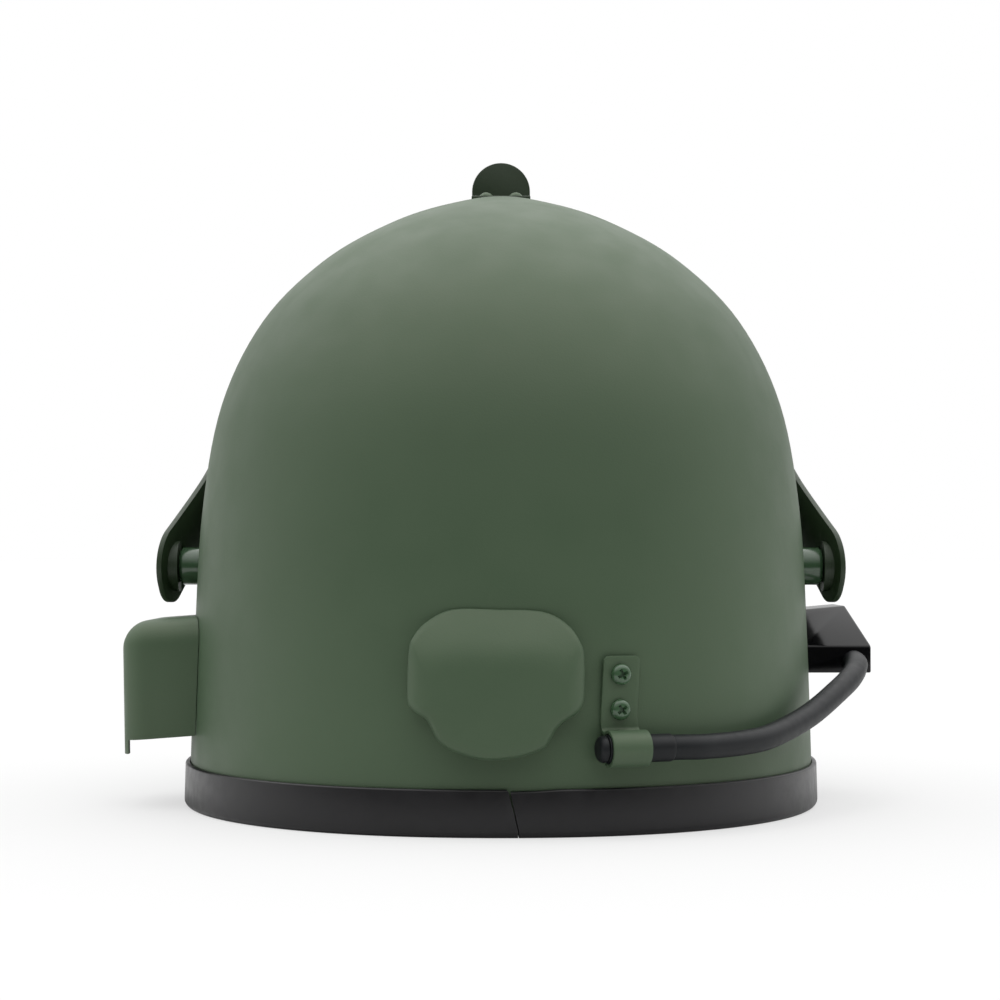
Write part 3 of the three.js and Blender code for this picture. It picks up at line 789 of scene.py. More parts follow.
def make_catch():
    half, front, rear = CATCH["half_width"], CATCH["front"], CATCH["rear"]
    top, plate = CATCH["top"], CATCH["plate"]
    inner, foot = front + CATCH["sheet"], plate - CATCH["foot_depth"]
    angle = rounded_outline([
        (rear, foot, 0), (rear, plate, 0.5), (inner, plate, 1.6), (inner, top, 0), (front, top, 0),
        (front, foot, 0),
    ], 5)
    catch = piece_from(bar_along_x(angle, -half, half), "crown_catch_angle")
    low, corner, reach = CATCH["tab_foot"], half - 0.01, CATCH["tab_reach"]
    tab = rounded_outline([
        (-half, low, 0), (half, low, 0), (half, top, corner), (-half, top, corner),
    ], 16)
    combine(catch, bar_along_y(tab, -reach, reach), "INTERSECT")
    bevel_piece(catch, 0.35)
    combine(catch, solid_dome(GAP))
    return catch


catch = make_catch()
finish_piece(catch, "crown_catch", DARK_PAINT_AND_SHADE)

# %% [markdown]
# Two low round rivets hold the foot down. Each is an outline spun round its own axis.

# %% Catch rivets
RIVET = {"side": 6.4, "y": -5, "radius": 2.9, "height": 1.7}
HEAD_SUNK = 0.2


def dome_outline(radius, height, steps=8):
    """The outline of a low round head, from the middle of its foot to its top."""
    ball = (radius ** 2 + height ** 2) / (2 * height)
    reach = math.asin(min(radius / ball, 1))
    widths = [ball * math.sin(reach * (1 - step / steps)) for step in range(steps)]
    arc = [(width, math.sqrt(ball ** 2 - width ** 2) - ball + height) for width in widths]
    return [(0, -HEAD_SUNK), (radius, -HEAD_SUNK), *arc, (0, height)]


for side, word in ((1, "left"), (-1, "right")):
    head = turned(dome_outline(RIVET["radius"], RIVET["height"]), 32)
    foot = (side * RIVET["side"], RIVET["y"], CATCH["plate"] + GAP)
    bmesh.ops.translate(head, vec=foot, verts=head.verts)
    rivet = piece_from(head, f"rivet_{word}")
    finish_piece(rivet, f"catch_rivet_{word}", MATT_PAINT)

# %% [markdown]
# The guard on the wearer's left is a folded sheet box, open underneath, that hides a fitting. A block
# is bevelled along its folds, first the wide fold above and then the narrow ones round the rear face.
# The block is then hollowed by the same block two millimetres smaller, so the sheet has the same
# thickness round every fold. It is skewed a little, as its top and its foot drop outwards and its side
# draws in downwards, and trimmed where it meets the shell.

# %% Side guard
GUARD = {"root": 90, "outer": 155.7, "rear": 50, "front": -15, "top": 69.8, "sheet": 2, "fold": 11,
         "edge": 10.5, "wall_foot": 15.8, "rear_foot": 21.5, "lip": 2.6, "skew": 0.075, "draw": 0.02}
CLOSE = 0.01
CUT_PAST = 10


def soft_edges(bm, width, angle, segments, where=None):
    """Bevels the edges that turn more sharply than an angle in degrees."""
    edges = [
        edge for edge in bm.edges
        if edge.is_manifold and edge.calc_face_angle() > math.radians(angle) and (not where or where(edge))
    ]
    bmesh.ops.bevel(
        bm, geom=edges, offset=width, offset_type="OFFSET", affect="EDGES",
        segments=segments, profile=0.5, material=-1, clamp_overlap=True,
    )
    return bm


def guard_block(inset, foot):
    """The guard as a solid block, or the smaller block that hollows it."""
    root, outer, top = GUARD["root"], GUARD["outer"] - inset, GUARD["top"] - inset
    outline = rounded_outline([
        (root, foot, 0), (outer, foot, 0), (outer, top, GUARD["fold"] - inset), (root, top, 0),
    ], 12)
    bm = bar_along_y(outline, GUARD["front"] + inset, GUARD["rear"] - inset)

    def on_face_rim(edge):
        ends = [vert.co for vert in edge.verts]
        flat = abs(ends[0].y - ends[1].y) < CLOSE
        low = all(end.z < foot + CLOSE for end in ends)
        near_shell = all(end.x < root + CLOSE for end in ends)
        return flat and not low and not near_shell

    return soft_edges(bm, GUARD["edge"] - inset, 60, 6, on_face_rim)


def make_guard():
    outer, sheet, front, rear = (GUARD[key] for key in ("outer", "sheet", "front", "rear"))
    inner, high = GUARD["root"] - CUT_PAST, GUARD["rear_foot"]
    guard = piece_from(guard_block(0, GUARD["wall_foot"]), "guard_sheet")
    combine(guard, guard_block(sheet, GUARD["wall_foot"] - CUT_PAST))
    for side, end in ((outer - GUARD["lip"], rear + 1), (outer + 1, rear - GUARD["edge"])):
        foot = [(inner, 0), (side, 0), (side, high), (inner, high)]
        combine(guard, bar_along_y(foot, front - 1, end))
    bevel_piece(guard, 0.4)
    skewed = Matrix.Translation((0, 0, GUARD["skew"] * (outer - sheet)))
    skewed[2][0] = -GUARD["skew"]
    skewed[0][2] = GUARD["draw"]
    skewed[0][3] = -GUARD["draw"] * GUARD["top"]
    guard.data.transform(skewed)
    combine(guard, solid_dome(GAP))
    return guard


guard = make_guard()
finish_piece(guard, "side_guard", MATT_PAINT, sharp=40)

# %% [markdown]
# The connector box on the wearer's right is a moulded block. Its top slopes down to the rear, where
# the cable comes out, its outer top edge is cut off at a slant, and its top drops a little towards the
# shell. It is an outline pushed along X, cut twice with bisect_plane, and bevelled all round.

# %% Connector box
BOX = {"root": -100, "outer": -157, "rear": 10, "front": -45, "foot": 47.2, "shoulder": 58.5,
       "top": 75.2, "top_outer": -149.2, "slope_end": -13, "top_drop": 0.09}
CUT_MERGE = 0.01


def make_box():
    outline = [
        (BOX["front"], BOX["foot"]), (BOX["rear"], BOX["foot"]), (BOX["rear"], BOX["shoulder"]),
        (BOX["slope_end"], BOX["top"]), (BOX["front"], BOX["top"]),
    ]
    bm = bar_along_x(outline, BOX["outer"], BOX["root"])
    rise = BOX["top"] - BOX["shoulder"]
    cuts = [
        # a point of the cut, the way that is cut away
        ((BOX["outer"], 0, BOX["shoulder"]), (-rise, 0, BOX["top_outer"] - BOX["outer"])),
        ((BOX["top_outer"], 0, BOX["top"]), (BOX["top_drop"], 0, 1)),
    ]
    for point, away in cuts:
        bmesh.ops.bisect_plane(
            bm, geom=[*bm.verts, *bm.edges, *bm.faces], plane_co=point,
            plane_no=Vector(away).normalized(), clear_outer=True,
        )
        bmesh.ops.remove_doubles(bm, verts=bm.verts, dist=CUT_MERGE)
        closed_ends(bm)
    box = piece_from(soft_edges(bm, 0.7, 15, 3), "connector_block")
    combine(box, solid_dome(GAP))
    return box


box = make_box()
finish_piece(box, "connector_box", BLACK_PLASTIC, sharp=25)

# %% [markdown]
# The clip, the end of the cable and the screws share one place on the back of the shell. They are drawn
# in the clip's own frame, with x along the shell and y straight out of it, and then turned into place.

# %% The clip's place
CLIP = {"x": -44.3, "y": 136.2, "turn": 19, "half_width": 7.2, "top": 60, "sheet": 1.3, "lean": 0.055,
        "corner": 1.6, "bend": 2.5}
LOOP = {"z": 26.2, "inner": 5.5, "outer": 6.8, "low_x": -7.3, "high_x": 8, "open": 0.12}
CLIP_TURN = Matrix.Rotation(math.radians(CLIP["turn"]), 4, "Z")
AT_CLIP = Matrix.Translation((CLIP["x"], CLIP["y"], 0)) @ CLIP_TURN
LOOP_OUT = LOOP["outer"] + GAP
ALONG_LOOP = Matrix.Translation((0, LOOP_OUT, LOOP["z"])) @ Matrix.Rotation(math.pi / 2, 4, "Y")
print("the clip stands off the shell by, in mm:", round(CLIP["y"] - back_at(CLIP["x"], CLIP["top"]), 2))

# %% [markdown]
# The clip is one strap of thin sheet: a flat plate under two screws, which bends outwards at its foot
# and runs once round the cable. Its path is worked out from the two tangent circles, a grid is laid
# along it, and the sheet then gets its thickness. The plate leans a little, so the strap's two edges
# slide over as they turn into the loop.

# %% Cable clip
STRAP_STEPS = {"plate": 22, "bend": 8, "loop": 48, "across": 10}
TO_LOOP = (-4, 8)


def clip_path():
    """Points (y, z) along the middle of the strap."""
    middle = (LOOP["inner"] + LOOP["outer"]) / 2
    bend = CLIP["bend"]
    plate_y = LOOP_OUT - middle
    rise = math.sqrt(4 * middle * bend)
    bend_z = LOOP["z"] + rise
    meet = math.atan2(rise, plate_y + bend - LOOP_OUT)
    steps = STRAP_STEPS["plate"]
    path = [(plate_y, CLIP["top"] - (CLIP["top"] - bend_z) * step / steps) for step in range(steps)]
    steps = STRAP_STEPS["bend"]
    for step in range(steps + 1):
        angle = math.pi + meet * step / steps
        path.append((plate_y + bend + bend * math.cos(angle), bend_z + bend * math.sin(angle)))
    steps = STRAP_STEPS["loop"]
    for step in range(1, steps + 1):
        angle = meet - (meet + math.pi - LOOP["open"]) * step / steps
        path.append((LOOP_OUT + middle * math.cos(angle), LOOP["z"] + middle * math.sin(angle)))
    return path


def make_clip():
    path = clip_path()
    lengths = [0.0]
    for (y, z), (next_y, next_z) in zip(path, path[1:]):
        lengths.append(lengths[-1] + math.hypot(next_y - y, next_z - z))
    plate_end = lengths[STRAP_STEPS["plate"] - 1]
    columns = len(path) - 1
    half, corner = CLIP["half_width"], CLIP["corner"]

    def place(along, up):
        index = round(along * columns)
        y, z = path[index]
        length = lengths[index]
        inward = corner - math.sqrt(max(0, corner ** 2 - max(0, corner - length) ** 2))
        share = share_between(length, *(plate_end + step for step in TO_LOOP))
        to_loop = share * share * (3 - 2 * share)
        aside = CLIP["lean"] * min(length, plate_end)
        left = mixed(half - inward + aside, LOOP["high_x"], to_loop)
        right = mixed(inward - half + aside, LOOP["low_x"], to_loop)
        return Vector((mixed(right, left, up), y, z))

    bm = laid_grid(columns, STRAP_STEPS["across"], place)
    bm.transform(AT_CLIP)
    strap = piece_from(bm, "clip_strap")
    thicken = strap.modifiers.new("sheet", "SOLIDIFY")
    thicken.thickness = CLIP["sheet"]
    thicken.offset = 0
    settle(strap)
    bevel_piece(strap, 0.25)
    return strap


clip = make_clip()
finish_piece(clip, "cable_clip", MATT_PAINT, sharp=40)

# %% [markdown]
# Two pan-head screws with cross recesses hold the clip. The head is an outline spun round its axis, and
# the recess is a cross of two wedges cut into it.

# %% Clip screws
CLIP_SCREWS = {"clip_screw_upper": (0.7, 53.2, 28), "clip_screw_lower": (1, 40.2, 38)}
SCREW = {"radius": 3.9, "height": 2.5, "wall": 0.25, "flat": 0.42, "arm": 2.3, "slot": 0.55,
         "deep": 1.7, "taper": 0.45}


def pan_head():
    radius, height = SCREW["radius"], SCREW["height"]
    flat, wall = SCREW["flat"] * radius, SCREW["wall"] * height
    top = quarter_arc(flat, wall, radius - flat, height - wall, 8)
    return turned([(0, 0), (radius, 0), (radius, wall), *top, (0, height)], 40)


def cross_wedge(turn):
    """One arm of the recess: wide at the top, narrower below."""
    top, low = SCREW["height"] + 0.2, SCREW["height"] - SCREW["deep"]
    arm, slot = SCREW["arm"], SCREW["slot"]
    narrow = SCREW["taper"] * arm
    outline = [(-arm, top), (arm, top), (narrow, low), (-narrow, low)]
    bm = bar_along_y(outline, -slot, slot)
    bm.transform(Matrix.Rotation(turn, 4, "Z"))
    return bm


for name, (side, z, turn) in CLIP_SCREWS.items():
    head = piece_from(pan_head(), name + "_head")
    for quarter in (0, math.pi / 2):
        combine(head, cross_wedge(quarter))
    on_plate = Matrix.Translation((side, CLIP["sheet"] + 2 * GAP, z))
    stand = on_plate @ Matrix.Rotation(-math.pi / 2, 4, "X")
    head.data.transform(AT_CLIP @ stand @ Matrix.Rotation(math.radians(turn), 4, "Z"))
    finish_piece(head, name, GLOSS_PAINT, sharp=40)

# %% [markdown]
# The cable leaves the box on the right, bends down and follows the shell to the clip. It is a Blender
# curve through the measured points with a round bevel, turned into a mesh. A collar covers its end in
# the clip, and a short black plug closes it.

# %% Cable
CABLE_RADIUS = 4.75
CABLE_STEPS = 96
COLLAR = {"radius": 5.2, "from": -17.9, "to": 8.6}
PLUG = {"radius": 5, "to": 12}
CABLE_ROUTE = [
    (-76, 130.8, 26), (-91.4, 118, 26.4), (-104, 104, 28), (-121.6, 77, 33.7), (-137, 51, 42),
    (-145, 35, 47), (-149, 21.5, 51), (-149.6, 10, 52),
]


def smooth_path(points, steps):
    """Evenly shared points of the curve through a few 3D points."""
    rows = [Vector(point) for point in points]
    return [curve_point(rows, (len(rows) - 1) * step / steps) for step in range(steps + 1)]


def tube(points, radius, name):
    data = bpy.data.curves.new(name, "CURVE")
    data.dimensions = "3D"
    data.bevel_depth = radius
    data.bevel_resolution = 10
    data.use_fill_caps = True
    spline = data.splines.new("POLY")
    spline.points.add(len(points) - 1)
    for point, place in zip(spline.points, points):
        point.co = (*place, 1)
    holder = bpy.data.objects.new(name + "_curve", data)
    scene.collection.objects.link(holder)
    shaped = holder.evaluated_get(bpy.context.evaluated_depsgraph_get())
    mesh = bpy.data.meshes.new_from_object(shaped)
    bpy.data.objects.remove(holder)
    piece = bpy.data.objects.new(name, mesh)
    scene.collection.objects.link(piece)
    return piece


starts = (COLLAR["from"] + 2, COLLAR["from"] - 5)
in_collar = [AT_CLIP @ Vector((along, LOOP_OUT, LOOP["z"])) for along in starts]
inside_box = (-149.6, 8.5, 52)
path = smooth_path([*in_collar, *CABLE_ROUTE, inside_box], CABLE_STEPS)
print("cable length in mm:", round(sum((end - start).length for start, end in zip(path, path[1:]))))
cable = tube(path, CABLE_RADIUS, "cable_lead")
finish_piece(cable, "cable", CABLE_RUBBER, sharp=60)

# %% [markdown]
# The collar and the plug are turned pieces that lie along the loop. Their outer edges are rounded by a
# quarter circle, as moulded rubber is.

# %% Collar and plug
def rod_outline(radius, length, low, high, steps=6):
    """A rod's outline, with its lower and upper edges rounded by two radii."""
    foot = quarter_arc(radius - low, low, low, -low, steps)[::-1]
    top = quarter_arc(radius - high, length - high, high, high, steps)
    return [(0, 0), *foot, (radius, low), (radius, length - high), *top, (0, length)]


def rod_in_loop(name, radius, start, end, low, high):
    bm = turned(rod_outline(radius, end - start, low, high), 40)
    bm.transform(AT_CLIP @ ALONG_LOOP @ Matrix.Translation((0, 0, start)))
    return piece_from(bm, name)


collar = rod_in_loop("cable_collar", COLLAR["radius"], COLLAR["from"], COLLAR["to"], 1.6, 0.2)
finish_piece(collar, "cable_sleeve", CABLE_RUBBER, sharp=60)
plug = rod_in_loop("cable_plug", PLUG["radius"], COLLAR["to"] + GAP, PLUG["to"], 0.2, 2.2)
finish_piece(plug, "cable_end_plug", CABLE_RUBBER, sharp=60)

# %% [markdown]
# The visor turns on two stout glossy shafts that stand out of the shell. Each is a turned piece with
# a chamfered end, hollow for the screw that holds the visor's ear.

# %% Pivots
PIVOT = {"y": 5, "z": 92.4}
SHAFT = {"radius": 8, "chamfer": 1.1, "tip": 136.5, "root": 120}
PIVOT_SCREW = {"radius": 3, "head": 5.8, "head_height": 2.2, "root": 126, "edge": 0.9, "slot": 0.7,
               "slot_reach": 6, "slot_deep": 1}
SEAT = {"radius": 9.3, "rim": 1.4, "inner": 136.9, "thickness": 2.6}


def sideways(bm, side, start):
    """Turns a piece from the Z axis on to the pivots' axis, pointing to one side."""
    turn = Matrix.Rotation(math.pi / 2, 4, "Y")
    flip = Matrix.Scale(side, 4, (1, 0, 0))
    bm.transform(flip @ Matrix.Translation((start, PIVOT["y"], PIVOT["z"])) @ turn)
    bmesh.ops.recalc_face_normals(bm, faces=bm.faces)
    return bm


def make_shaft(side, word):
    length = SHAFT["tip"] - SHAFT["root"]
    radius, chamfer = SHAFT["radius"], SHAFT["chamfer"]
    bore = PIVOT_SCREW["radius"] + GAP
    wall = length - chamfer
    # two points at the foot of the chamfer soften its corner
    outline = [
        (bore, 0), (radius, 0), (radius, wall - 0.15), (radius - 0.12, wall + 0.1),
        (radius - chamfer, length), (bore, length), (bore, 0),
    ]
    shaft = piece_from(sideways(turned(outline, 64), side, SHAFT["root"]), f"pivot_stud_{word}")
    combine(shaft, solid_dome(GAP))
    return shaft


def make_pivot_screw(side, word):
    head_at = SEAT["inner"] + SEAT["thickness"] + GAP - PIVOT_SCREW["root"]
    radius, head, edge = PIVOT_SCREW["radius"], PIVOT_SCREW["head"], PIVOT_SCREW["edge"]
    top = head_at + PIVOT_SCREW["head_height"]
    outline = [
        (0, 0), (radius, 0), (radius, head_at), (head, head_at), (head, top - edge),
        *quarter_arc(head - edge, top - edge, edge, edge, 5), (0, top),
    ]
    screw = piece_from(sideways(turned(outline, 40), side, PIVOT_SCREW["root"]), f"pivot_bolt_{word}")
    combine(screw, solid_dome(GAP))
    end = PIVOT_SCREW["root"] + top
    reach, slot = PIVOT_SCREW["slot_reach"], PIVOT_SCREW["slot"]
    rear, front, high, low = PIVOT["y"] + reach, PIVOT["y"] - reach, PIVOT["z"] + slot, PIVOT["z"] - slot
    bar = [(front, low), (rear, low), (rear, high), (front, high)]
    combine(screw, bar_along_x(bar, side * (end - PIVOT_SCREW["slot_deep"]), side * (end + 2)))
    return screw


for side, word in ((1, "left"), (-1, "right")):
    finish_piece(make_shaft(side, word), f"pivot_shaft_{word}", GLOSS_PAINT)
    finish_piece(make_pivot_screw(side, word), f"pivot_screw_{word}", DARK_PAINT_AND_SHADE)

# %% [markdown]
# The visor is a steel plate bent round the face, and the same bend runs on into the two arms. The bend
# is one smooth curve seen from above, so a layer of space between two distances from that curve gives
# the plate, and the same kind of layer gives the window's frame and pane. Each layer is cut out by
# its outline, seen from the side or from the front.

# %% The visor's bend
VISOR_ROWS = [
    (145.2, 23.5), (140, 5), (132.4, -25), (126.6, -53), (116, -84), (95, -119), (56, -146.5), (0, -157.5),
]
VISOR = {"sheet": 2, "lean": 0.12}
VISOR_EDGE = [
    # y, height, radius: the foot of the plate, the arm's lower side, the ear and the top
    (FAR_FRONT, 12, 0), (-80, 12, 14), (-80, 124.9, 14), (-25, 101.5, 20), (11.6, 71.5, 11),
    (28.1, 99.1, 17), (-86.6, 168, 28), (FAR_FRONT, 168, 0),
]
WINDOW = {"half_width": 78, "low": 88, "high": 148, "corner": 13}
BEND_STEPS = 168
NEAR_ROW = 0.02
ABOVE_VISOR = 260


def make_bend():
    """Points along the bend, each with the way straight outwards."""
    rows = VISOR_ROWS + [(-x, y) for x, y in VISOR_ROWS[-2::-1]]
    last = len(rows) - 1
    bend = []
    for step in range(BEND_STEPS + 1):
        at = last * step / BEND_STEPS
        ahead = curve_point(rows, min(at + NEAR_ROW, last))
        behind = curve_point(rows, max(at - NEAR_ROW, 0))
        along = (ahead - behind).normalized()
        bend.append((curve_point(rows, at), Vector((-along.y, along.x))))
    return bend


BEND = make_bend()


def visor_layer(inner, outer, low=0, high=ABOVE_VISOR):
    """The space between two distances outwards from the visor's bend."""
    def at(distance):
        return [point + out * distance for point, out in BEND]

    outline = at(outer) + at(inner)[::-1]
    shift = VISOR["lean"] * (low - PIVOT["z"])
    points = [Vector((point.x, point.y + shift, low)) for point in outline]
    return extruded(points, Vector((0, VISOR["lean"] * (high - low), high - low)))


def window_bar(grow):
    """A bar from the front, with the window's outline, grown or shrunk all round."""
    half, corner = WINDOW["half_width"] + grow, WINDOW["corner"] + grow
    low, high = WINDOW["low"] - grow, WINDOW["high"] + grow
    outline = rounded_outline([
        (-half, low, corner), (half, low, corner), (half, high, corner), (-half, high, corner),
    ], 8)
    return bar_along_y(outline, FAR_FRONT, NEAR_FRONT)


print("bend from ear to ear in mm:", round(sum((b[0] - a[0]).length for a, b in zip(BEND, BEND[1:]))))

# %% [markdown]
# Seen from the side, the visor is a deep plate with an arm that falls back from it to a round ear. At
# the ear the sheet is pressed into a flat round seat, which stands square to the pivot's axis though
# the sheet flares out behind. The seat is a turned cup, joined into a round hole of the sheet. The
# inner side and the edges carry the dark paint as painted shade, darker than the shell.

# %% Visor plate
PAST_EARS = 250
SEAT_SPAN = {"first": 110, "inner": 125, "outer": 150, "last": 160}
SEAT_HOLE = 3.5
INTO_SHEET = 0.05
PAST_SHEET = 12
OUTWARDS = 0.5


def disc(radius, start, end, side):
    outline = [(0, 0), (radius, 0), (radius, end - start), (0, end - start)]
    return sideways(turned(outline, 48), side, start)


def taken(piece):
    """The piece's mesh as a bmesh, and the piece itself removed."""
    bm = bmesh.new()
    bm.from_mesh(piece.data)
    bpy.data.objects.remove(piece)
    return bm


def seat_ring(inner, outer, start, end, layer, side, steps):
    """A piece of round wall, kept only where it lies in a layer of the visor's bend."""
    outline = [(inner, 0), (outer, 0), (outer, end - start), (inner, end - start), (inner, 0)]
    ring = piece_from(sideways(turned(outline, steps), side, start), "seat_ring")
    combine(ring, visor_layer(*layer), "INTERSECT")
    return taken(ring)


def seat_parts(side):
    """The pressed seat: a flat face with a hole, and the wall that joins it to the sheet.

    The wall runs out to the seat where the sheet lies nearer the shell, and in to it where the sheet
    lies further out. The rings have their own step counts, because surfaces that fall together
    would leave the joined mesh open.
    """
    hole, rim = SEAT_HOLE, SEAT["radius"] + SEAT["rim"]
    back, thick, sheet = SEAT["inner"], SEAT["thickness"], VISOR["sheet"]
    outline = [(hole, 0), (rim, 0), (rim, thick - 0.5), (rim - 0.5, thick), (hole, thick), (hole, 0)]
    inner, outer = SEAT["radius"] + INTO_SHEET, rim - INTO_SHEET
    nearer = (2 * INTO_SHEET - sheet, PAST_SHEET)
    further = (-PAST_SHEET, -INTO_SHEET)
    return [
        sideways(turned(outline, 64), side, back),
        seat_ring(inner, outer, SEAT_SPAN["inner"], back + 0.5, nearer, side, 61),
        seat_ring(inner, outer, back + 1.5, SEAT_SPAN["outer"], further, side, 59),
    ]


def make_visor_plate():
    plate = piece_from(visor_layer(-VISOR["sheet"], 0), "visor_sheet")
    combine(plate, bar_along_x(rounded_outline(VISOR_EDGE, 14), -PAST_EARS, PAST_EARS), "INTERSECT")
    combine(plate, window_bar(0))
    bevel_piece(plate, 0.3)
    hole = SEAT["radius"] + 0.6 * SEAT["rim"]
    for side in (1, -1):
        combine(plate, disc(hole, SEAT_SPAN["first"], SEAT_SPAN["last"], side))
        for part in seat_parts(side):
            combine(plate, part, "UNION")
    return plate


def paint_inside_shade(visor):
    """Paints shade: gives the dark paint to every face that doesn't look outwards from the pivots' axis."""
    visor.data.materials.append(DARK_PAINT_AND_SHADE)
    axis_y = (PLACING @ Vector((0, PIVOT["y"], 0))).y
    for face in visor.data.polygons:
        outwards = Vector((face.center.x, face.center.y - axis_y, 0)).normalized()
        # faces that look inwards or sideways get the dark paint, as painted shade
        face.material_index = 0 if face.normal.dot(outwards) > OUTWARDS else 1


plate = make_visor_plate()
finish_piece(plate, "visor_plate", MATT_PAINT, "visor", 40)
paint_inside_shade(plate)

# %% [markdown]
# A deep metal frame round the window holds the thick pane from the front, on a thin flange with
# eight screws. A rubber seal lies between the frame and the pane.

# %% Window
FRAME = {"wide": 9, "proud": 9.5, "lip": 5.4, "lip_sheet": 2.2, "flange": 17, "flange_sheet": 2.2}
PANE = {"front": 7, "back": -1.8}
SEAL_WIDTH = 2.4
BEHIND_SHEET = -1


def layer_piece(name, inner, outer, grow, hole):
    """A layer of the bend, cut to the window's outline, with a hole or without."""
    piece = piece_from(visor_layer(inner, outer), name)
    combine(piece, window_bar(grow), "INTERSECT")
    if hole is not None:
        combine(piece, window_bar(hole))
    return piece


def make_window_frame():
    ring = layer_piece("window_frame_ring", GAP, FRAME["proud"], FRAME["wide"], -FRAME["lip"])
    bevel_piece(ring, 0.9, 3)
    flange = layer_piece("flange", GAP, GAP + FRAME["flange_sheet"], FRAME["flange"], 0)
    combine(ring, taken(flange), "UNION")
    pocket = layer_piece("pocket", BEHIND_SHEET, FRAME["proud"] - FRAME["lip_sheet"], 0, None)
    combine(ring, taken(pocket))
    return ring


finish_piece(make_window_frame(), "window_frame", DARK_PAINT_AND_SHADE, "visor", 40)
seal = layer_piece("window_seal", PANE["back"], PANE["front"], -GAP, -GAP - SEAL_WIDTH)
finish_piece(seal, "window_gasket", EDGING_RUBBER, "visor", 40)
pane = layer_piece("window_pane", PANE["back"], PANE["front"], -2 * GAP - SEAL_WIDTH, None)
finish_piece(pane, "window_glass", CLEAR_GLASS, "visor", 40)

# %% [markdown]
# The flange's screws have low round heads with a single slot, and stand square to the bend.

# %% Frame screws
FRAME_SCREW = {"radius": 3.1, "height": 1.9, "out": 13, "columns": (60, 20, -20, -60),
               "slot": 0.4, "slot_foot": 1.1, "slot_reach": 4, "lift": 0.25}
FRONT_OF_VISOR = -60


def bend_at(x):
    """The bend's y over x on the front of the visor, and the way it faces there."""
    front = [(point, out) for point, out in BEND if point.y < FRONT_OF_VISOR]
    point, out = min(front, key=lambda entry: abs(entry[0].x - x))
    along = Vector((-out.y, out.x))
    return point.y + (x - point.x) * along.y / along.x, out


def make_frame_screw(index, x, z):
    y, out = bend_at(x)
    y += VISOR["lean"] * (z - PIVOT["z"])
    facing = Vector((out.x, out.y, -VISOR["lean"] * out.y)).normalized()
    outline = dome_outline(FRAME_SCREW["radius"], FRAME_SCREW["height"], 6)
    head = piece_from(turned(outline, 28), f"flange_screw_{index}")
    reach, foot, slot = (FRAME_SCREW[key] for key in ("slot_reach", "slot_foot", "slot"))
    bar = [(-reach, foot), (reach, foot), (reach, 3), (-reach, 3)]
    combine(head, bar_along_y(bar, -slot, slot))
    stand = GAP + FRAME["flange_sheet"] + FRAME_SCREW["lift"]
    place = Vector((x, y, z)) + Vector((out.x, out.y, 0)) * stand
    head.data.transform(Matrix.Translation(place) @ facing.to_track_quat("Z", "Y").to_matrix().to_4x4())
    finish_piece(head, f"frame_screw_{index}", GLOSS_PAINT, "visor", 40)


rows = [WINDOW["high"] + FRAME_SCREW["out"], WINDOW["low"] - FRAME_SCREW["out"]]
places = [(x, z) for z in rows for x in FRAME_SCREW["columns"]]
for index, (x, z) in enumerate(places, 1):
    make_frame_screw(index, x, z)

# %% [markdown]
# The helmet stands on a plain pale table top, which ends a little before the camera, in a white
# surround, which is also its light. The surround is brightest overhead, fairly bright at the front and
# the sides, where it lights the helmet's edges, and darkest behind the camera, so the surface that
# faces the camera keeps its depth of colour. The camera sees the floor with part of its own light, so
# the helmet's shadow stays soft and pale.

# %% Floor and light
FLOOR_SIDE = 30
FLOOR_END = 0.5
FLOOR_SHADE_EASED = 0.6


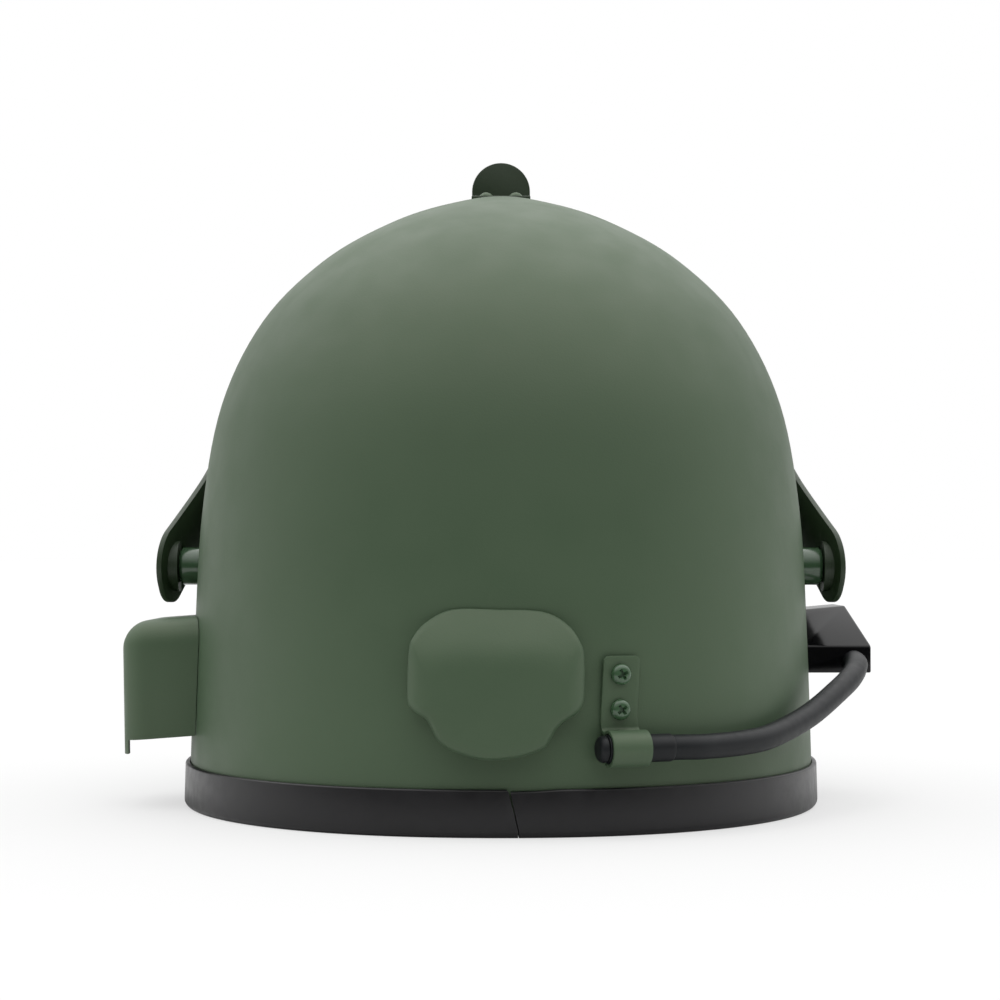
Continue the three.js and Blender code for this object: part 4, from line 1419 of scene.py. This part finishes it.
def make_floor():
    bm = bmesh.new()
    bmesh.ops.create_grid(bm, x_segments=1, y_segments=1, size=FLOOR_SIDE / 2)
    bmesh.ops.translate(bm, vec=(0, FLOOR_END - FLOOR_SIDE / 2, 0), verts=bm.verts)
    floor = piece_from(bm, "floor")
    material, tree, shader, _ = new_material("floor")
    shader.inputs["Base Color"].default_value = (0.72, 0.72, 0.72, 1)
    shader.inputs["Roughness"].default_value = 1.0
    shader.inputs["Specular IOR Level"].default_value = 0.0
    light = tree.nodes.new("ShaderNodeEmission")
    seen = tree.nodes.new("ShaderNodeMath")
    seen.operation = "MULTIPLY"
    seen.inputs[1].default_value = FLOOR_SHADE_EASED
    tree.links.new(tree.nodes.new("ShaderNodeLightPath").outputs["Is Camera Ray"], seen.inputs[0])
    eased = tree.nodes.new("ShaderNodeMixShader")
    tree.links.new(seen.outputs["Value"], eased.inputs["Fac"])
    tree.links.new(shader.outputs["BSDF"], eased.inputs[1])
    tree.links.new(light.outputs["Emission"], eased.inputs[2])
    output = next(node for node in tree.nodes if node.type == "OUTPUT_MATERIAL")
    tree.links.new(eased.outputs["Shader"], output.inputs["Surface"])
    floor.data.materials.append(material)


def white_surround(overhead, edge, behind_camera):
    """A white world for the camera. For light, it is graded from overhead down to its edge."""
    world = bpy.data.worlds.new("surround")
    world.use_nodes = True
    tree = world.node_tree
    backdrop = next(node for node in tree.nodes if node.type == "BACKGROUND")
    output = next(node for node in tree.nodes if node.type == "OUTPUT_WORLD")
    backdrop.inputs["Color"].default_value = (1, 1, 1, 1)
    backdrop.inputs["Strength"].default_value = 1.0
    way = tree.nodes.new("ShaderNodeSeparateXYZ")
    tree.links.new(tree.nodes.new("ShaderNodeTexCoord").outputs["Generated"], way.inputs["Vector"])
    low = stretched(tree, way.outputs["Y"], edge, behind_camera, from_low=0.0, from_high=0.7)
    high = stretched(tree, way.outputs["Z"], 0, overhead - edge, from_low=0.25, from_high=0.85)
    total = tree.nodes.new("ShaderNodeMath")
    total.operation = "ADD"
    tree.links.new(low, total.inputs[0])
    tree.links.new(high, total.inputs[1])
    glow = tree.nodes.new("ShaderNodeBackground")
    glow.inputs["Color"].default_value = (1, 1, 1, 1)
    tree.links.new(total.outputs["Value"], glow.inputs["Strength"])
    choice = tree.nodes.new("ShaderNodeMixShader")
    tree.links.new(tree.nodes.new("ShaderNodeLightPath").outputs["Is Camera Ray"], choice.inputs["Fac"])
    tree.links.new(glow.outputs["Background"], choice.inputs[1])
    tree.links.new(backdrop.outputs["Background"], choice.inputs[2])
    tree.links.new(choice.outputs["Shader"], output.inputs["Surface"])
    scene.world = world


make_floor()
white_surround(overhead=2.1, edge=0.72, behind_camera=0.06)
scene.view_settings.view_transform = "Standard"
print("world:", scene.world.name, "camera:", scene.camera.name)
